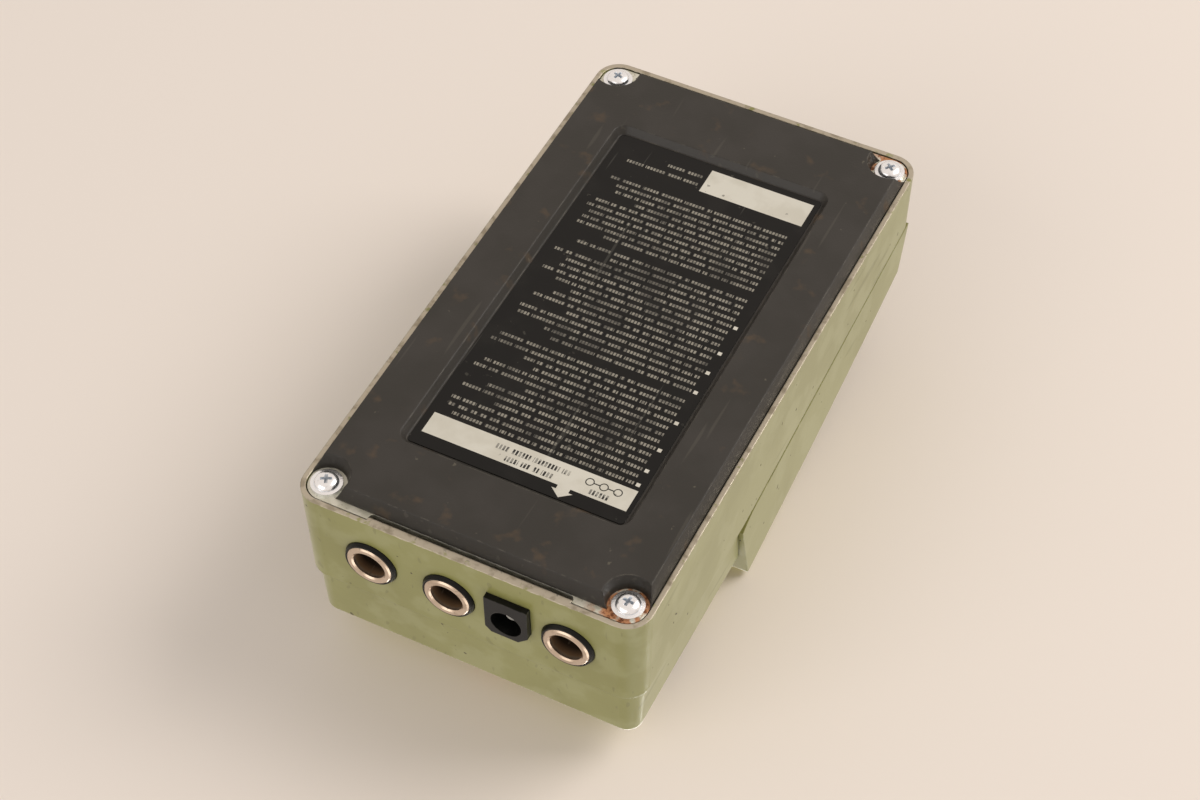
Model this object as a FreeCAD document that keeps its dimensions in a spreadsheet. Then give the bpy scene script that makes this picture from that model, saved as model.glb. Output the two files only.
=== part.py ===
import FreeCAD, Part
import math
import os
import re

import Sketcher

# A compact delay pedal. Millimetres; X across, +Y towards the jack end, +Z up as the pedal stands in use.
# The origin is at the middle of the underside. A "rise" is measured up from the lower rim of the die-cast
# housing, a "setback" from the jack end towards the front, and an "inset" back from the front end.
# The front half is laid out backwards from the front end: footswitch, lid, battery tray, hinge, panel.

SIZES = {
    # die-cast housing
    "overall_width": 70,
    "overall_length": 127.5,
    "corner_radius": 5,
    "lower_draft": 1.2,
    "ledge_rise": 22.5,
    "ledge_width": 0.9,
    "ledge_bend_lead": 7,
    "ledge_front_rise": 14,
    "ledge_roof": 2,
    "upper_draft": 2.4,
    "panel_rise": 35.7,
    "panel_edge_radius": 1,
    "panel_wall": 2.4,
    "deck_rise": 31.6,
    "deck_bend_gap": 2.4,
    "deck_front_rise": 18,
    "deck_wall": 2,
    "core_front_inset": 5.7,
    "core_gap": 0.35,
    "rim_lip": 1,
    "rear_lip": 1.65,
    "side_wall": 2.4,
    "cavity_side_wall": 4.3,
    "rear_wall": 2.8,
    "upper_rear_wall": 4.4,
    "front_wall": 2.6,
    # steel base plate and rubber cover
    "plate_thickness": 1.2,
    "plate_recess": 0.2,
    "plate_gap": 0.25,
    "notch_left": -19.7,
    "notch_right": 21,
    "notch_depth": 2.7,
    "notch_corner": 0.8,
    "cover_thickness": 3,
    "cover_side_inset": 1.1,
    "cover_slope": 1.2,
    "cover_corner": 2.5,
    "recess_left": -23.1,
    "recess_right": 23.5,
    "recess_rear_setback": 17.7,
    "recess_front_inset": 18.7,
    "recess_corner": 2.5,
    "recess_depth": 1.5,
    "recess_slope": 1,
    "label_margin": 1.4,
    "label_thickness": 0.2,
    "insulator_width": 50,
    "insulator_margin": 10,
    "insulator_thickness": 0.5,
    # base screws and their bosses
    "screw_side_inset": 4.8,
    "screw_rear_setback": 4.9,
    "screw_front_inset": 5,
    "screw_cutout_radius": 3.75,
    "screw_cutout_slope": 0.9,
    "screw_radius": 1.5,
    "screw_length": 8,
    "screw_flange_radius": 3,
    "screw_flange_height": 0.6,
    "screw_head_radius": 2.3,
    "screw_head_height": 1.1,
    "screw_crown_radius": 1.4,
    "boss_radius": 3.6,
    "boss_rise": 12.5,
    "slip": 0.05,
    # jacks, and the gaps along their row from the left boss to the right one
    "boss_direct_gap": 1.5,
    "direct_output_gap": 4.4,
    "output_socket_gap": 2.15,
    "socket_input_gap": 1.65,
    "input_boss_gap": 0.1,
    "jack_rise": 11.65,
    "jack_bore_radius": 3.25,
    "jack_sleeve_radius": 4.6,
    "jack_sleeve_proud": 0.95,
    "jack_sleeve_length": 9.95,
    "jack_sleeve_edge": 0.3,
    "jack_ring_radius": 5.25,
    "jack_ring_slope": 0.35,
    "jack_ring_proud": 0.7,
    "jack_seat_setback": 0.45,
    "jack_body_width": 11.6,
    "jack_body_height": 12,
    "jack_body_length": 24.2,
    "jack_body_bore_radius": 3.9,
    "jack_contact_width": 4,
    "jack_contact_rise": 4.2,
    "jack_contact_thickness": 0.4,
    "jack_contact_setback": 12,
    # power socket
    "socket_width": 8.6,
    "socket_bottom_rise": 5.8,
    "socket_height": 9.8,
    "socket_proud": 1.1,
    "socket_length": 13.1,
    "socket_chamfer": 1.2,
    "socket_key_chamfer": 2,
    "socket_hole_height": 5.8,
    "socket_hole_radius": 3.1,
    "socket_hole_depth": 9,
    "socket_pin_radius": 1.05,
    "socket_pin_recess": 2,
    # boards
    "board_thickness": 1.6,
    "board_side_gap": 0.9,
    "board_rear_gap": 2.4,
    "board_front_gap": 4.4,
    "control_board_rise": 23.4,
    "control_board_gap": 1.2,
    "link_width": 40,
    "link_depth": 4,
    "link_setback": 34,
    "chip_length": 10,
    "chip_width": 6.4,
    "chip_height": 3.6,
    "chip_gap": 2.4,
    "chip_pitch": 12.5,
    "chip_count": 4,
    "capacitor_radius": 3.2,
    "capacitor_height": 9,
    "capacitor_pitch": 9.5,
    "capacitor_front_gap": 1.8,
    "capacitor_count": 5,
    # controls
    "knob_setback": 24,
    "pot_width": 11,
    "pot_side_gap": 1.2,
    "pot_bush_radius": 3.5,
    "pot_bush_height": 3,
    "pot_nut_radius": 5.2,
    "pot_nut_height": 2,
    "shaft_radius": 3,
    "shaft_socket_depth": 4,
    "knob_gap": 0.5,
    "knob_height": 12.5,
    "knob_skirt_radius": 6.7,
    "knob_skirt_height": 3,
    "knob_radius": 6,
    "knob_top_radius": 5.3,
    "knob_edge": 0.6,
    "knob_flute_count": 12,
    "knob_flute_depth": 0.5,
    "knob_land_angle": 18,
    "knob_recess_radius": 5.4,
    "knob_recess_depth": 2.8,
    "knob_pointer_width": 0.9,
    "knob_pointer_depth": 0.4,
    "knob_roof": 2.5,
    "light_setback": 9.5,
    "light_radius": 2.5,
    "light_proud": 3,
    "light_body_depth": 3.3,
    "light_lead_radius": 0.3,
    "light_lead_spacing": 2.54,
    "bezel_radius": 3.4,
    "bezel_neck_radius": 3,
    "bezel_height": 0.8,
    # hinge of treadle and battery lid
    "hinge_lead": 7,
    "hinge_height": 4.9,
    "hinge_radius": 1.25,
    "hinge_ear_radius": 2.6,
    "hinge_stem_back": 1.2,
    "housing_ear_gap": 1.5,
    "housing_ear_width": 3.4,
    "treadle_ear_gap": 0.8,
    "treadle_ear_width": 3,
    "lid_ear_gap": 1.2,
    "lid_ear_width": 14,
    # treadle
    "treadle_side_gap": 0.6,
    "skirt_wall": 1.5,
    "skirt_gap": 0.5,
    "skirt_low_lead": 8.1,
    "skirt_foot_gap": 0.4,
    "skirt_corner_radius": 13.3,
    "treadle_rear_lead": 3.6,
    "treadle_rear_height": 6.8,
    "treadle_front_inset": 5.3,
    "treadle_front_height": 10.3,
    "treadle_toe_inset": 1.6,
    "treadle_toe_gap": 1.9,
    "treadle_crown": 0.8,
    "treadle_edge_radius": 1.2,
    "treadle_top_wall": 1.8,
    "treadle_front_wall": 1.5,
    "treadle_rear_wall": 2.05,
    "treadle_rear_wall_gap": 0.5,
    "pad_seat_lift": 0.1,
    "pad_margin": 5,
    "pad_base": 0.9,
    "pad_rib_height": 0.7,
    "pad_rib_width": 1.6,
    "pad_end_margin": 1.7,
    "pad_rib_count": 19,
    "pad_fit": 0.1,
    # battery lid, battery and tray: a block battery of 48.5 x 26.5 x 17.5 fits
    "lid_side_inset": 0.4,
    "lid_gap": 0.3,
    "lid_thickness": 1.6,
    "lid_arm_lead": 2,
    "lid_front_gap": 3,
    "tray_left_gap": 3.7,
    "tray_right_gap": 0.9,
    "tray_front_gap": 2,
    "tray_wall": 1.2,
    "tray_depth": 17,
    "tray_floor_rise": 4.8,
    "tray_rib_width": 1.5,
    "tray_rib_pitch": 20,
    "deck_opening_gap": 0.2,
    "battery_end_gap": 0.2,
    "battery_play": 2.7,
    "battery_width": 26.5,
    "battery_height": 17.5,
    "battery_corner": 2,
    "snap_gap": 1.1,
    "snap_depth": 4.6,
    "snap_width": 24,
    "snap_height": 12,
    "battery_pad_gap": 0.3,
    "battery_pad_inset": 1.6,
    "battery_pad_margin": 2,
    # spring between lid and treadle
    "spring_lead": 10,
    "spring_radius": 4,
    "spring_wire": 0.7,
    "spring_seat_height": 1.5,
    "spring_boss_depth": 2.8,
    "spring_seat_radius": 4.7,
    # footswitch
    "switch_board_gap": 4.7,
    "switch_width": 12,
    "switch_height": 4.4,
    "switch_board_width": 26,
    "switch_board_depth": 15,
    "switch_board_rise": 8,
    "switch_post_spacing": 20,
    "switch_post_radius": 2.2,
    "plunger_radius": 3,
    "plunger_gap": 1.5,
    "plunger_stem_radius": 1.7,
    "plunger_stem_length": 3,
    "switch_hole_depth": 3,
    "switch_tip_gap": 0.2,
    "switch_tip_radius": 4,
    "switch_tip_length": 3.2,
    "switch_tip_boss_depth": 3,
    "plunger_collar_radius": 4.2,
    "plunger_collar_height": 1,
    # catch that holds the battery lid down
    "tongue_left": -20,
    "tongue_width": 3,
    "tongue_lead": 4,
    "tongue_thickness": 1.5,
    "tongue_foot_length": 2.5,
    "tongue_foot_rise": 10.5,
    "tongue_foot_height": 1.5,
    "tongue_slot_gap": 1,
    "tongue_slot_lead": 3.5,
    "catch_gap": 0.2,
    "catch_clearance": 1.5,
    "catch_depth": 2.5,
    "catch_height": 1.7,
    "catch_travel": 3,
    "button_length": 6,
    "button_height": 3.6,
    "button_proud": 0.35,
    "window_gap": 0.2,
}

# Places and lengths worked out from the sizes above, each from the ones before it.
PLACES = {
    "side": "overall_width/2",
    "rear": "overall_length/2",
    "front": "-overall_length/2",
    "rim": "cover_thickness - plate_recess",
    "plate_inner": "cover_thickness + plate_thickness",
    "ledge": "rim + ledge_rise",
    "panel": "rim + panel_rise",
    "panel_under": "panel - panel_wall",
    "deck": "rim + deck_rise",
    "cavity_half": "side - cavity_side_wall",
    "low_cavity_rise": "ledge_front_rise - ledge_roof",
    "low_cavity": "rim + low_cavity_rise",
    "lower_wall_lean": "ledge_rise*tan(lower_draft)",
    "block_lean": "(ledge_rise - low_cavity_rise)*tan(upper_draft)",
    "block_inset": "lower_wall_lean + ledge_width - block_lean",
    # lengthwise, from the front end back to the panel
    "core_setback": "overall_length - core_front_inset",
    "switch_setback": "core_setback - front_wall - switch_board_gap - switch_board_depth/2",
    "lid_front_setback": "switch_setback - switch_tip_radius - lid_front_gap",
    "tongue_setback": "lid_front_setback - tongue_lead",
    "catch_setback": "tongue_setback + tongue_thickness + tongue_foot_length + catch_clearance",
    "spring_setback": "lid_front_setback - spring_lead",
    "tray_front_setback": "tongue_setback - tray_front_gap",
    "tray_rear_setback": "tray_front_setback - battery_width - battery_play - 2*tray_wall",
    "deck_bend_setback": "tray_rear_setback - deck_bend_gap",
    "lid_arm_setback": "deck_bend_setback - lid_arm_lead",
    "hinge_setback": "deck_bend_setback - hinge_lead",
    "ledge_bend_setback": "hinge_setback - ledge_bend_lead",
    "skirt_low_setback": "hinge_setback - skirt_low_lead",
    "treadle_rear_setback": "hinge_setback - treadle_rear_lead",
    "treadle_front_setback": "overall_length - treadle_front_inset",
    "treadle_toe_setback": "overall_length - treadle_toe_inset",
    "recess_front_setback": "overall_length - recess_front_inset",
    # heights above the rim
    "hinge_rise": "deck_rise + hinge_height",
    "skirt_low_rise": "ledge_rise + skirt_foot_gap",
    "treadle_rear_rise": "hinge_rise + treadle_rear_height",
    "treadle_front_rise": "deck_front_rise + treadle_front_height",
    "treadle_toe_rise": "ledge_front_rise + treadle_toe_gap",
    "treadle_rear_wall_rise": "panel_rise + treadle_rear_wall_gap",
    "tray_rise": "tray_floor_rise + tray_depth",
    # slopes
    "skirt_lean": "(treadle_rear_setback - skirt_low_setback)/(treadle_rear_rise - skirt_low_rise)",
    "block_front_setback": "skirt_low_setback + (deck_rise - skirt_low_rise)*skirt_lean",
    "deck_slope": "(deck_rise - deck_front_rise)/(core_setback - deck_bend_setback)",
    "treadle_length": "treadle_front_setback - treadle_rear_setback",
    "treadle_slope": "(treadle_rear_rise - treadle_front_rise)/treadle_length",
    "treadle_chord": "treadle_length*sqrt(1 + treadle_slope^2)",
    "crown_radius": "treadle_chord^2/(8*treadle_crown) + treadle_crown/2",
    # hinge, treadle and lid, from the side inwards
    "hinge_y": "rear - hinge_setback",
    "hinge_z": "rim + hinge_rise",
    "treadle_half": "side - treadle_side_gap",
    "skirt_half": "treadle_half - skirt_wall",
    "core_half": "skirt_half - core_gap",
    "core_front": "rear - core_setback",
    "housing_ear_outer": "skirt_half - housing_ear_gap",
    "housing_ear_inner": "housing_ear_outer - housing_ear_width",
    "treadle_ear_outer": "housing_ear_inner - treadle_ear_gap",
    "treadle_ear_inner": "treadle_ear_outer - treadle_ear_width",
    "lid_ear_outer": "treadle_ear_inner - lid_ear_gap",
    "lid_ear_inner": "lid_ear_outer - lid_ear_width",
    "lid_half": "housing_ear_outer - lid_side_inset",
    # base, jacks, boards and controls
    "screw_x": "side - screw_side_inset",
    "screw_rear": "rear - screw_rear_setback",
    "screw_front": "front + screw_front_inset",
    "row_half": "screw_x - boss_radius",
    "row_gaps": "boss_direct_gap + direct_output_gap + output_socket_gap + socket_input_gap + input_boss_gap",
    "row_spread": "(2*row_half - 3*jack_body_width - socket_width)/row_gaps",
    "direct_jack_x": "jack_body_width/2 + row_spread*boss_direct_gap - row_half",
    "output_jack_x": "direct_jack_x + jack_body_width + row_spread*direct_output_gap",
    "socket_x": "output_jack_x + (jack_body_width + socket_width)/2 + row_spread*output_socket_gap",
    "input_jack_x": "socket_x + (jack_body_width + socket_width)/2 + row_spread*socket_input_gap",
    "jack_z": "rim + jack_rise",
    "jack_body_rear": "rear - rear_wall",
    "jack_body_front": "jack_body_rear - jack_body_length",
    "main_board_z": "jack_z + jack_body_height/2",
    "main_board_front": "rear - tray_rear_setback + board_front_gap",
    "board_half": "cavity_half - board_side_gap",
    "chip_y": "jack_body_front - jack_contact_thickness - chip_gap - chip_width/2",
    "capacitor_y": "main_board_front + capacitor_front_gap + capacitor_radius",
    "control_board_z": "rim + control_board_rise",
    "control_board_top": "control_board_z + board_thickness",
    "knob_y": "rear - knob_setback",
    "knob_pitch": "2*(cavity_half - pot_width/2 - pot_side_gap)/3",
    "knob_top": "panel + knob_gap + knob_height",
    "light_y": "rear - light_setback",
    # battery bay
    "tray_rear": "rear - tray_rear_setback",
    "tray_front": "rear - tray_front_setback",
    "tray_left": "tray_left_gap - cavity_half",
    "tray_right": "cavity_half - tray_right_gap",
    "tray_bottom": "plate_inner + insulator_thickness",
    "tray_floor": "rim + tray_floor_rise",
    "tray_top": "rim + tray_rise",
    "battery_z": "tray_floor + tray_wall",
    "battery_left": "tray_left + tray_wall + battery_end_gap",
    "battery_right": "tray_right - tray_wall - snap_gap - snap_depth",
    "battery_y": "(tray_rear + tray_front)/2",
    "battery_top": "battery_z + battery_height",
    # spring, footswitch and catch
    "lid_under_rise": "deck_rise + lid_gap",
    "lid_top_at_spring": "lid_under_rise - (spring_setback - deck_bend_setback)*deck_slope + lid_thickness",
    "spring_bottom": "rim + lid_top_at_spring + spring_seat_height",
    "treadle_at_spring": "treadle_rear_rise - (spring_setback - treadle_rear_setback)*treadle_slope",
    "spring_top": "rim + treadle_at_spring - spring_boss_depth",
    "spring_y": "rear - spring_setback",
    "switch_y": "rear - switch_setback",
    "switch_board_top": "rim + switch_board_rise + board_thickness",
    "plunger_bottom": "switch_board_top + switch_height + plunger_gap",
    "treadle_at_switch": "treadle_rear_rise - (switch_setback - treadle_rear_setback)*treadle_slope",
    "tip_top": "rim + treadle_at_switch - switch_tip_boss_depth",
    "tip_bottom": "tip_top - switch_tip_length",
    "plunger_top": "tip_bottom - switch_tip_gap",
    "tongue_y": "rear - tongue_setback",
    "foot_z": "rim + tongue_foot_rise",
    "catch_z": "foot_z + tongue_foot_height + catch_gap",
    "catch_y": "rear - catch_setback",
    "button_inner": "side - side_wall",
}

WORD = re.compile(r"[a-z][a-z_]*")
doc = FreeCAD.newDocument("delay_pedal")
sheet = doc.addObject("Spreadsheet::Sheet", "sizes")
nodes = {}


def fill_sheet():
    """Puts each size in the sheet as a number and each place as a formula of the cells above it."""
    cells = [(name, str(number)) for name, number in SIZES.items()]
    cells += [(name, f"={formula}") for name, formula in PLACES.items()]
    for row, (name, content) in enumerate(cells, 1):
        sheet.set(f"A{row}", name)
        sheet.set(f"B{row}", content)
        sheet.setAlias(f"B{row}", name)
    doc.recompute()


def linked(formula):
    """Writes a formula of named sizes and places as an expression on the sheet."""

    def link(match):
        word = match.group()
        return f"sizes.{word}" if word in SIZES or word in PLACES else word

    return WORD.sub(link, str(formula))


def value(formula):
    return float(sheet.evalExpression(linked(formula)))


def below(setback, base, slope, start):
    """The height of a slope at a setback: it falls from base at start towards the front."""
    return f"{base} - ({setback} - {start})*{slope}"


def lid_under(setback):
    return below(setback, "rim + lid_under_rise", "deck_slope", "deck_bend_setback")


def treadle_top(setback):
    return below(setback, "rim + treadle_rear_rise", "treadle_slope", "treadle_rear_setback")


def skirt_rear(rise):
    """The setback of the skirt's leaning rear edge at a rise."""
    return f"skirt_low_setback + ({rise} - skirt_low_rise)*skirt_lean"


# Sketches


def start_sketch(body, name, plane, offset="0"):
    sketch = body.newObject("Sketcher::SketchObject", name)
    support = next(item for item in body.Origin.OriginFeatures if item.Role == plane)
    sketch.AttachmentSupport = [(support, "")]
    sketch.MapMode = "FlatFace"
    sketch.setExpression("AttachmentOffset.Base.z", linked(offset))
    return sketch


def hold(sketch, kind, items, formula):
    """Adds a constraint whose size follows a formula."""
    index = sketch.addConstraint(Sketcher.Constraint(kind, *items, value(formula)))
    sketch.setExpression(f"Constraints[{index}]", linked(formula))


def draw_outline(sketch, corners, arcs=None):
    """Draws a closed outline through corners, which are pairs of formulas.

    A side whose number is in arcs bends with that radius formula. The formula follows a sign:
    + for an arc that turns left on the way, - for one that turns right.
    """
    arcs = arcs or {}
    points = [FreeCAD.Vector(value(x), value(y), 0) for x, y in corners]
    ends = []
    for side, start in enumerate(points):
        stop = points[(side + 1) % len(points)]
        if side not in arcs:
            sketch.addGeometry(Part.LineSegment(start, stop))
            ends.append((1, 2))
            continue
        turn, radius = arcs[side]
        length = value(radius)
        chord = stop - start
        rise = math.sqrt(max(length**2 - chord.Length**2 / 4, 0))
        across = FreeCAD.Vector(-chord.y, chord.x, 0).normalize() * (1 if turn == "+" else -1)
        centre = (start + stop) / 2 + across * rise
        angles = [math.atan2(p.y - centre.y, p.x - centre.x) for p in (start, stop)]
        if turn == "-":
            angles.reverse()
        circle = Part.Circle(centre, FreeCAD.Vector(0, 0, 1), length)
        sketch.addGeometry(Part.ArcOfCircle(circle, *angles))
        ends.append((1, 2) if turn == "+" else (2, 1))
    for side, (first, last) in enumerate(ends):
        following = (side + 1) % len(ends)
        sketch.addConstraint(Sketcher.Constraint("Coincident", side, last, following, ends[following][0]))
        hold(sketch, "DistanceX", (-1, 1, side, first), corners[side][0])
        hold(sketch, "DistanceY", (-1, 1, side, first), corners[side][1])
        if side in arcs:
            hold(sketch, "Radius", (side,), arcs[side][1])


def rounded_rectangle(low_x, high_x, low_y, high_y, radius):
    """The corners and arcs of a rectangle with round corners, for draw_outline."""
    corners = [
        (f"{low_x} + {radius}", low_y),
        (f"{high_x} - ({radius})", low_y),
        (high_x, f"{low_y} + {radius}"),
        (high_x, f"{high_y} - ({radius})"),
        (f"{high_x} - ({radius})", high_y),
        (f"{low_x} + {radius}", high_y),
        (low_x, f"{high_y} - ({radius})"),
        (low_x, f"{low_y} + {radius}"),
    ]
    return corners, {side: ("+", radius) for side in (1, 3, 5, 7)}


def rectangle(low_x, high_x, low_y, high_y):
    return [(low_x, low_y), (high_x, low_y), (high_x, high_y), (low_x, high_y)]


def draw_circles(sketch, circles):
    """Draws circles, each a centre and a radius as formulas."""
    for index, (x, y, radius) in enumerate(circles):
        centre = FreeCAD.Vector(value(x), value(y), 0)
        sketch.addGeometry(Part.Circle(centre, FreeCAD.Vector(0, 0, 1), value(radius)))
        hold(sketch, "DistanceX", (-1, 1, index, 3), x)
        hold(sketch, "DistanceY", (-1, 1, index, 3), y)
        hold(sketch, "Radius", (index,), radius)


# Features of a body


def new_body(name):
    return doc.addObject("PartDesign::Body", name)


def extrude(kind, sketch, length, reverse=False, symmetric=False, taper="0"):
    body = sketch.getParentGeoFeatureGroup()
    feature = body.newObject(f"PartDesign::{kind}", f"{sketch.Name}_{kind.lower()}")
    feature.Profile = sketch
    feature.SideType = "Symmetric" if symmetric else "One side"
    feature.Reversed = reverse
    feature.setExpression("Length", linked(length))
    feature.setExpression("TaperAngle", linked(taper))
    return feature


def pad_across(body, name, corners, half, arcs=None):
    """Pads a profile in the lengthwise plane to both sides of it."""
    sketch = start_sketch(body, name, "YZ_Plane")
    draw_outline(sketch, corners, arcs)
    return extrude("Pad", sketch, f"2*({half})", symmetric=True)


def cut_across(body, name, corners, half):
    sketch = start_sketch(body, name, "YZ_Plane")
    draw_outline(sketch, corners)
    return extrude("Pocket", sketch, f"2*({half})", symmetric=True)


def pad_between(body, name, corners, low_x, high_x):
    """Pads a profile in the lengthwise plane from one X to another."""
    sketch = start_sketch(body, name, "YZ_Plane", low_x)
    draw_outline(sketch, corners)
    return extrude("Pad", sketch, f"{high_x} - ({low_x})")


def pad_up(body, name, corners, arcs, low_z, high_z, taper="0"):
    sketch = start_sketch(body, name, "XY_Plane", low_z)
    draw_outline(sketch, corners, arcs)
    return extrude("Pad", sketch, f"{high_z} - ({low_z})", taper=taper)


def cut_up(body, name, corners, arcs, low_z, high_z, taper="0"):
    sketch = start_sketch(body, name, "XY_Plane", low_z)
    draw_outline(sketch, corners, arcs)
    return extrude("Pocket", sketch, f"{high_z} - ({low_z})", reverse=True, taper=taper)


def pad_circles_up(body, name, circles, low_z, high_z):
    sketch = start_sketch(body, name, "XY_Plane", low_z)
    draw_circles(sketch, circles)
    return extrude("Pad", sketch, f"{high_z} - ({low_z})")


def cut_circles_up(body, name, circles, low_z, high_z, taper="0"):
    sketch = start_sketch(body, name, "XY_Plane", low_z)
    draw_circles(sketch, circles)
    return extrude("Pocket", sketch, f"{high_z} - ({low_z})", reverse=True, taper=taper)


def cut_circles_along(body, name, circles, rear_y, front_y):
    """Cuts round holes that run lengthwise, each a centre X, a centre Z and a radius."""
    sketch = start_sketch(body, name, "XZ_Plane", f"-({rear_y})")
    draw_circles(sketch, circles)
    return extrude("Pocket", sketch, f"{rear_y} - ({front_y})", reverse=True)


def cut_hinge_bore(body, name, half):
    sketch = start_sketch(body, name, "YZ_Plane")
    draw_circles(sketch, [("hinge_y", "hinge_z", "hinge_radius + slip")])
    return extrude("Pocket", sketch, f"2*({half})", symmetric=True)


def turn(body, name, plane, offset, corners, axis="V_Axis", arcs=None):
    """Revolves a profile about an axis of its sketch."""
    sketch = start_sketch(body, name, plane, offset)
    draw_outline(sketch, corners, arcs)
    feature = body.newObject("PartDesign::Revolution", f"{name}_turned")
    feature.Profile = sketch
    feature.ReferenceAxis = (sketch, [axis])
    feature.Angle = 360
    return feature


def dress_edges(body, feature, kind, size, wanted):
    """Rounds (Fillet) or bevels (Chamfer) the edges of a feature for which wanted is true."""
    doc.recompute()
    names = [f"Edge{n}" for n, edge in enumerate(feature.Shape.Edges, 1) if wanted(edge)]
    dressed = body.newObject(f"PartDesign::{kind}", f"{feature.Name}_{kind.lower()}")
    dressed.Base = (feature, names)
    dressed.setExpression("Radius" if kind == "Fillet" else "Size", linked(size))


def lies_at(edge, height):
    box = edge.BoundBox
    return abs(box.ZMin - height) < 0.001 and abs(box.ZMax - height) < 0.001


# Loose shapes


def block(name, x, y, z):
    """A box between two formulas on each axis."""
    box = doc.addObject("Part::Box", name)
    for edge, axis, (low, high) in zip(("Length", "Width", "Height"), "xyz", (x, y, z)):
        box.setExpression(edge, linked(f"{high} - ({low})"))
        box.setExpression(f"Placement.Base.{axis}", linked(low))
    return box


TURNS = {
    "x": FreeCAD.Rotation(FreeCAD.Vector(0, 1, 0), 90),
    "y": FreeCAD.Rotation(FreeCAD.Vector(1, 0, 0), -90),
    "z": FreeCAD.Rotation(),
}


def rod(name, axis, base, length, radius):
    """A cylinder from a base point along +X, +Y or +Z."""
    cylinder = doc.addObject("Part::Cylinder", name)
    cylinder.Placement = FreeCAD.Placement(FreeCAD.Vector(), TURNS[axis])
    for direction, formula in zip("xyz", base):
        cylinder.setExpression(f"Placement.Base.{direction}", linked(formula))
    cylinder.setExpression("Height", linked(length))
    cylinder.setExpression("Radius", linked(radius))
    return cylinder


def cut(name, base, tool):
    result = doc.addObject("Part::Cut", name)
    result.Base, result.Tool = base, tool
    return result


def fuse(name, *pieces):
    result = doc.addObject("Part::MultiFuse", name)
    result.Shapes = list(pieces)
    result.Refine = True
    return result


def group(name, pieces):
    result = doc.addObject("Part::Compound", name)
    result.Links = list(pieces)
    return result


def node(item, name):
    item.Label = name
    nodes[name] = item


# Housing and base

CORNERS = [(x, y) for y in ("screw_rear", "screw_front") for x in ("screw_x", "-screw_x")]
JACKS = {"direct": "direct_jack_x", "output": "output_jack_x", "input": "input_jack_x"}
KNOBS = {
    "time": "-3*knob_pitch/2", "repeat": "-knob_pitch/2", "level": "knob_pitch/2", "range": "3*knob_pitch/2",
}


def inset(amount, rear=None, front_amount=None):
    """The housing's outline at the rim, moved inwards."""
    rear, front_amount = rear or amount, front_amount or amount
    return rounded_rectangle(
        f"{amount} - side", f"side - ({amount})", f"front + {front_amount}", f"rear - ({rear})",
        f"(corner_radius - ({amount}))",
    )


def socket_outline(gap):
    """The power socket's front, with two unlike chamfers, grown by a gap."""
    left, right = f"socket_x - socket_width/2 - {gap}", f"socket_x + socket_width/2 + {gap}"
    bottom = f"rim + socket_bottom_rise - {gap}"
    top = f"rim + socket_bottom_rise + socket_height + {gap}"
    return [
        (left, bottom), (right, bottom), (right, f"{top} - socket_key_chamfer"),
        (f"{right} - socket_key_chamfer", top), (f"{left} + socket_chamfer", top),
        (left, f"{top} - socket_chamfer"),
    ]


def make_housing_outside(body):
    outline, arcs = inset("0")
    pad_up(body, "lower_wall", outline, arcs, "rim", "ledge", taper="-lower_draft")
    outline, arcs = rounded_rectangle(
        "block_inset - side", "side - block_inset", "rear - deck_bend_setback", "rear - block_inset",
        "(corner_radius - block_inset)",
    )
    pad_up(body, "control_block", outline, arcs, "low_cavity", "panel", taper="-upper_draft")
    above = "panel + panel_wall"
    rises = ("ledge_rise", "panel_rise + panel_wall")
    block_front = [f"rear - ({skirt_rear(rise)}) + skirt_gap" for rise in rises]
    shoulder = cut_across(body, "shoulder", [
        (block_front[0], "ledge"), (block_front[1], above), ("front", above),
        ("front", "rim + ledge_front_rise"), ("rear - ledge_bend_setback", "ledge"),
    ], "side + side_wall")
    top = value("panel")
    dress_edges(body, shoulder, "Fillet", "panel_edge_radius", lambda edge: lies_at(edge, top))
    pad_across(body, "deck_core", [
        ("knob_y", "low_cavity"), ("core_front", "low_cavity"),
        ("core_front", "rim + deck_front_rise"), ("rear - deck_bend_setback", "deck"), ("knob_y", "deck"),
    ], "core_half")


def make_housing_inside(body):
    outline, arcs = inset("rim_lip")
    cut_up(body, "plate_seat", outline, arcs, "rim", "plate_inner")
    pad_up(body, "rear_lip_block", rectangle(
        "notch_left", "notch_right", "rear - rear_lip", "rear - rim_lip",
    ), None, "rim", "plate_inner")
    outline, arcs = inset("side_wall", "rear_wall", "front_wall")
    cut_up(body, "lower_hollow", outline, arcs, "plate_inner", "low_cavity")
    under_front, upper_rear = "core_front + front_wall", "rear - upper_rear_wall"
    overlap, block_inner = "low_cavity - ledge_roof", "rear - block_front_setback + panel_wall"
    cut_across(body, "upper_hollow", [
        ("rear - rear_wall", overlap),
        ("rear - rear_wall", "control_board_z - (upper_rear_wall - rear_wall)"),
        (upper_rear, "control_board_z"), (upper_rear, "panel_under"),
        (block_inner, "panel_under"), (block_inner, "deck - deck_wall"),
        ("rear - deck_bend_setback", "deck - deck_wall"),
        (under_front, "rim + deck_front_rise - deck_wall + front_wall*deck_slope"), (under_front, overlap),
    ], "cavity_half")
    bosses = [(x, y, "boss_radius") for x, y in CORNERS]
    pad_circles_up(body, "bosses", bosses, "plate_inner", "rim + boss_rise")
    posts = [(f"{sign}switch_post_spacing/2", "switch_y", "switch_post_radius") for sign in ("-", "")]
    deck_at_switch = below("switch_setback", "deck", "deck_slope", "deck_bend_setback")
    pad_circles_up(body, "switch_posts", posts, "switch_board_top", f"{deck_at_switch} - deck_wall/2")


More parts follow.
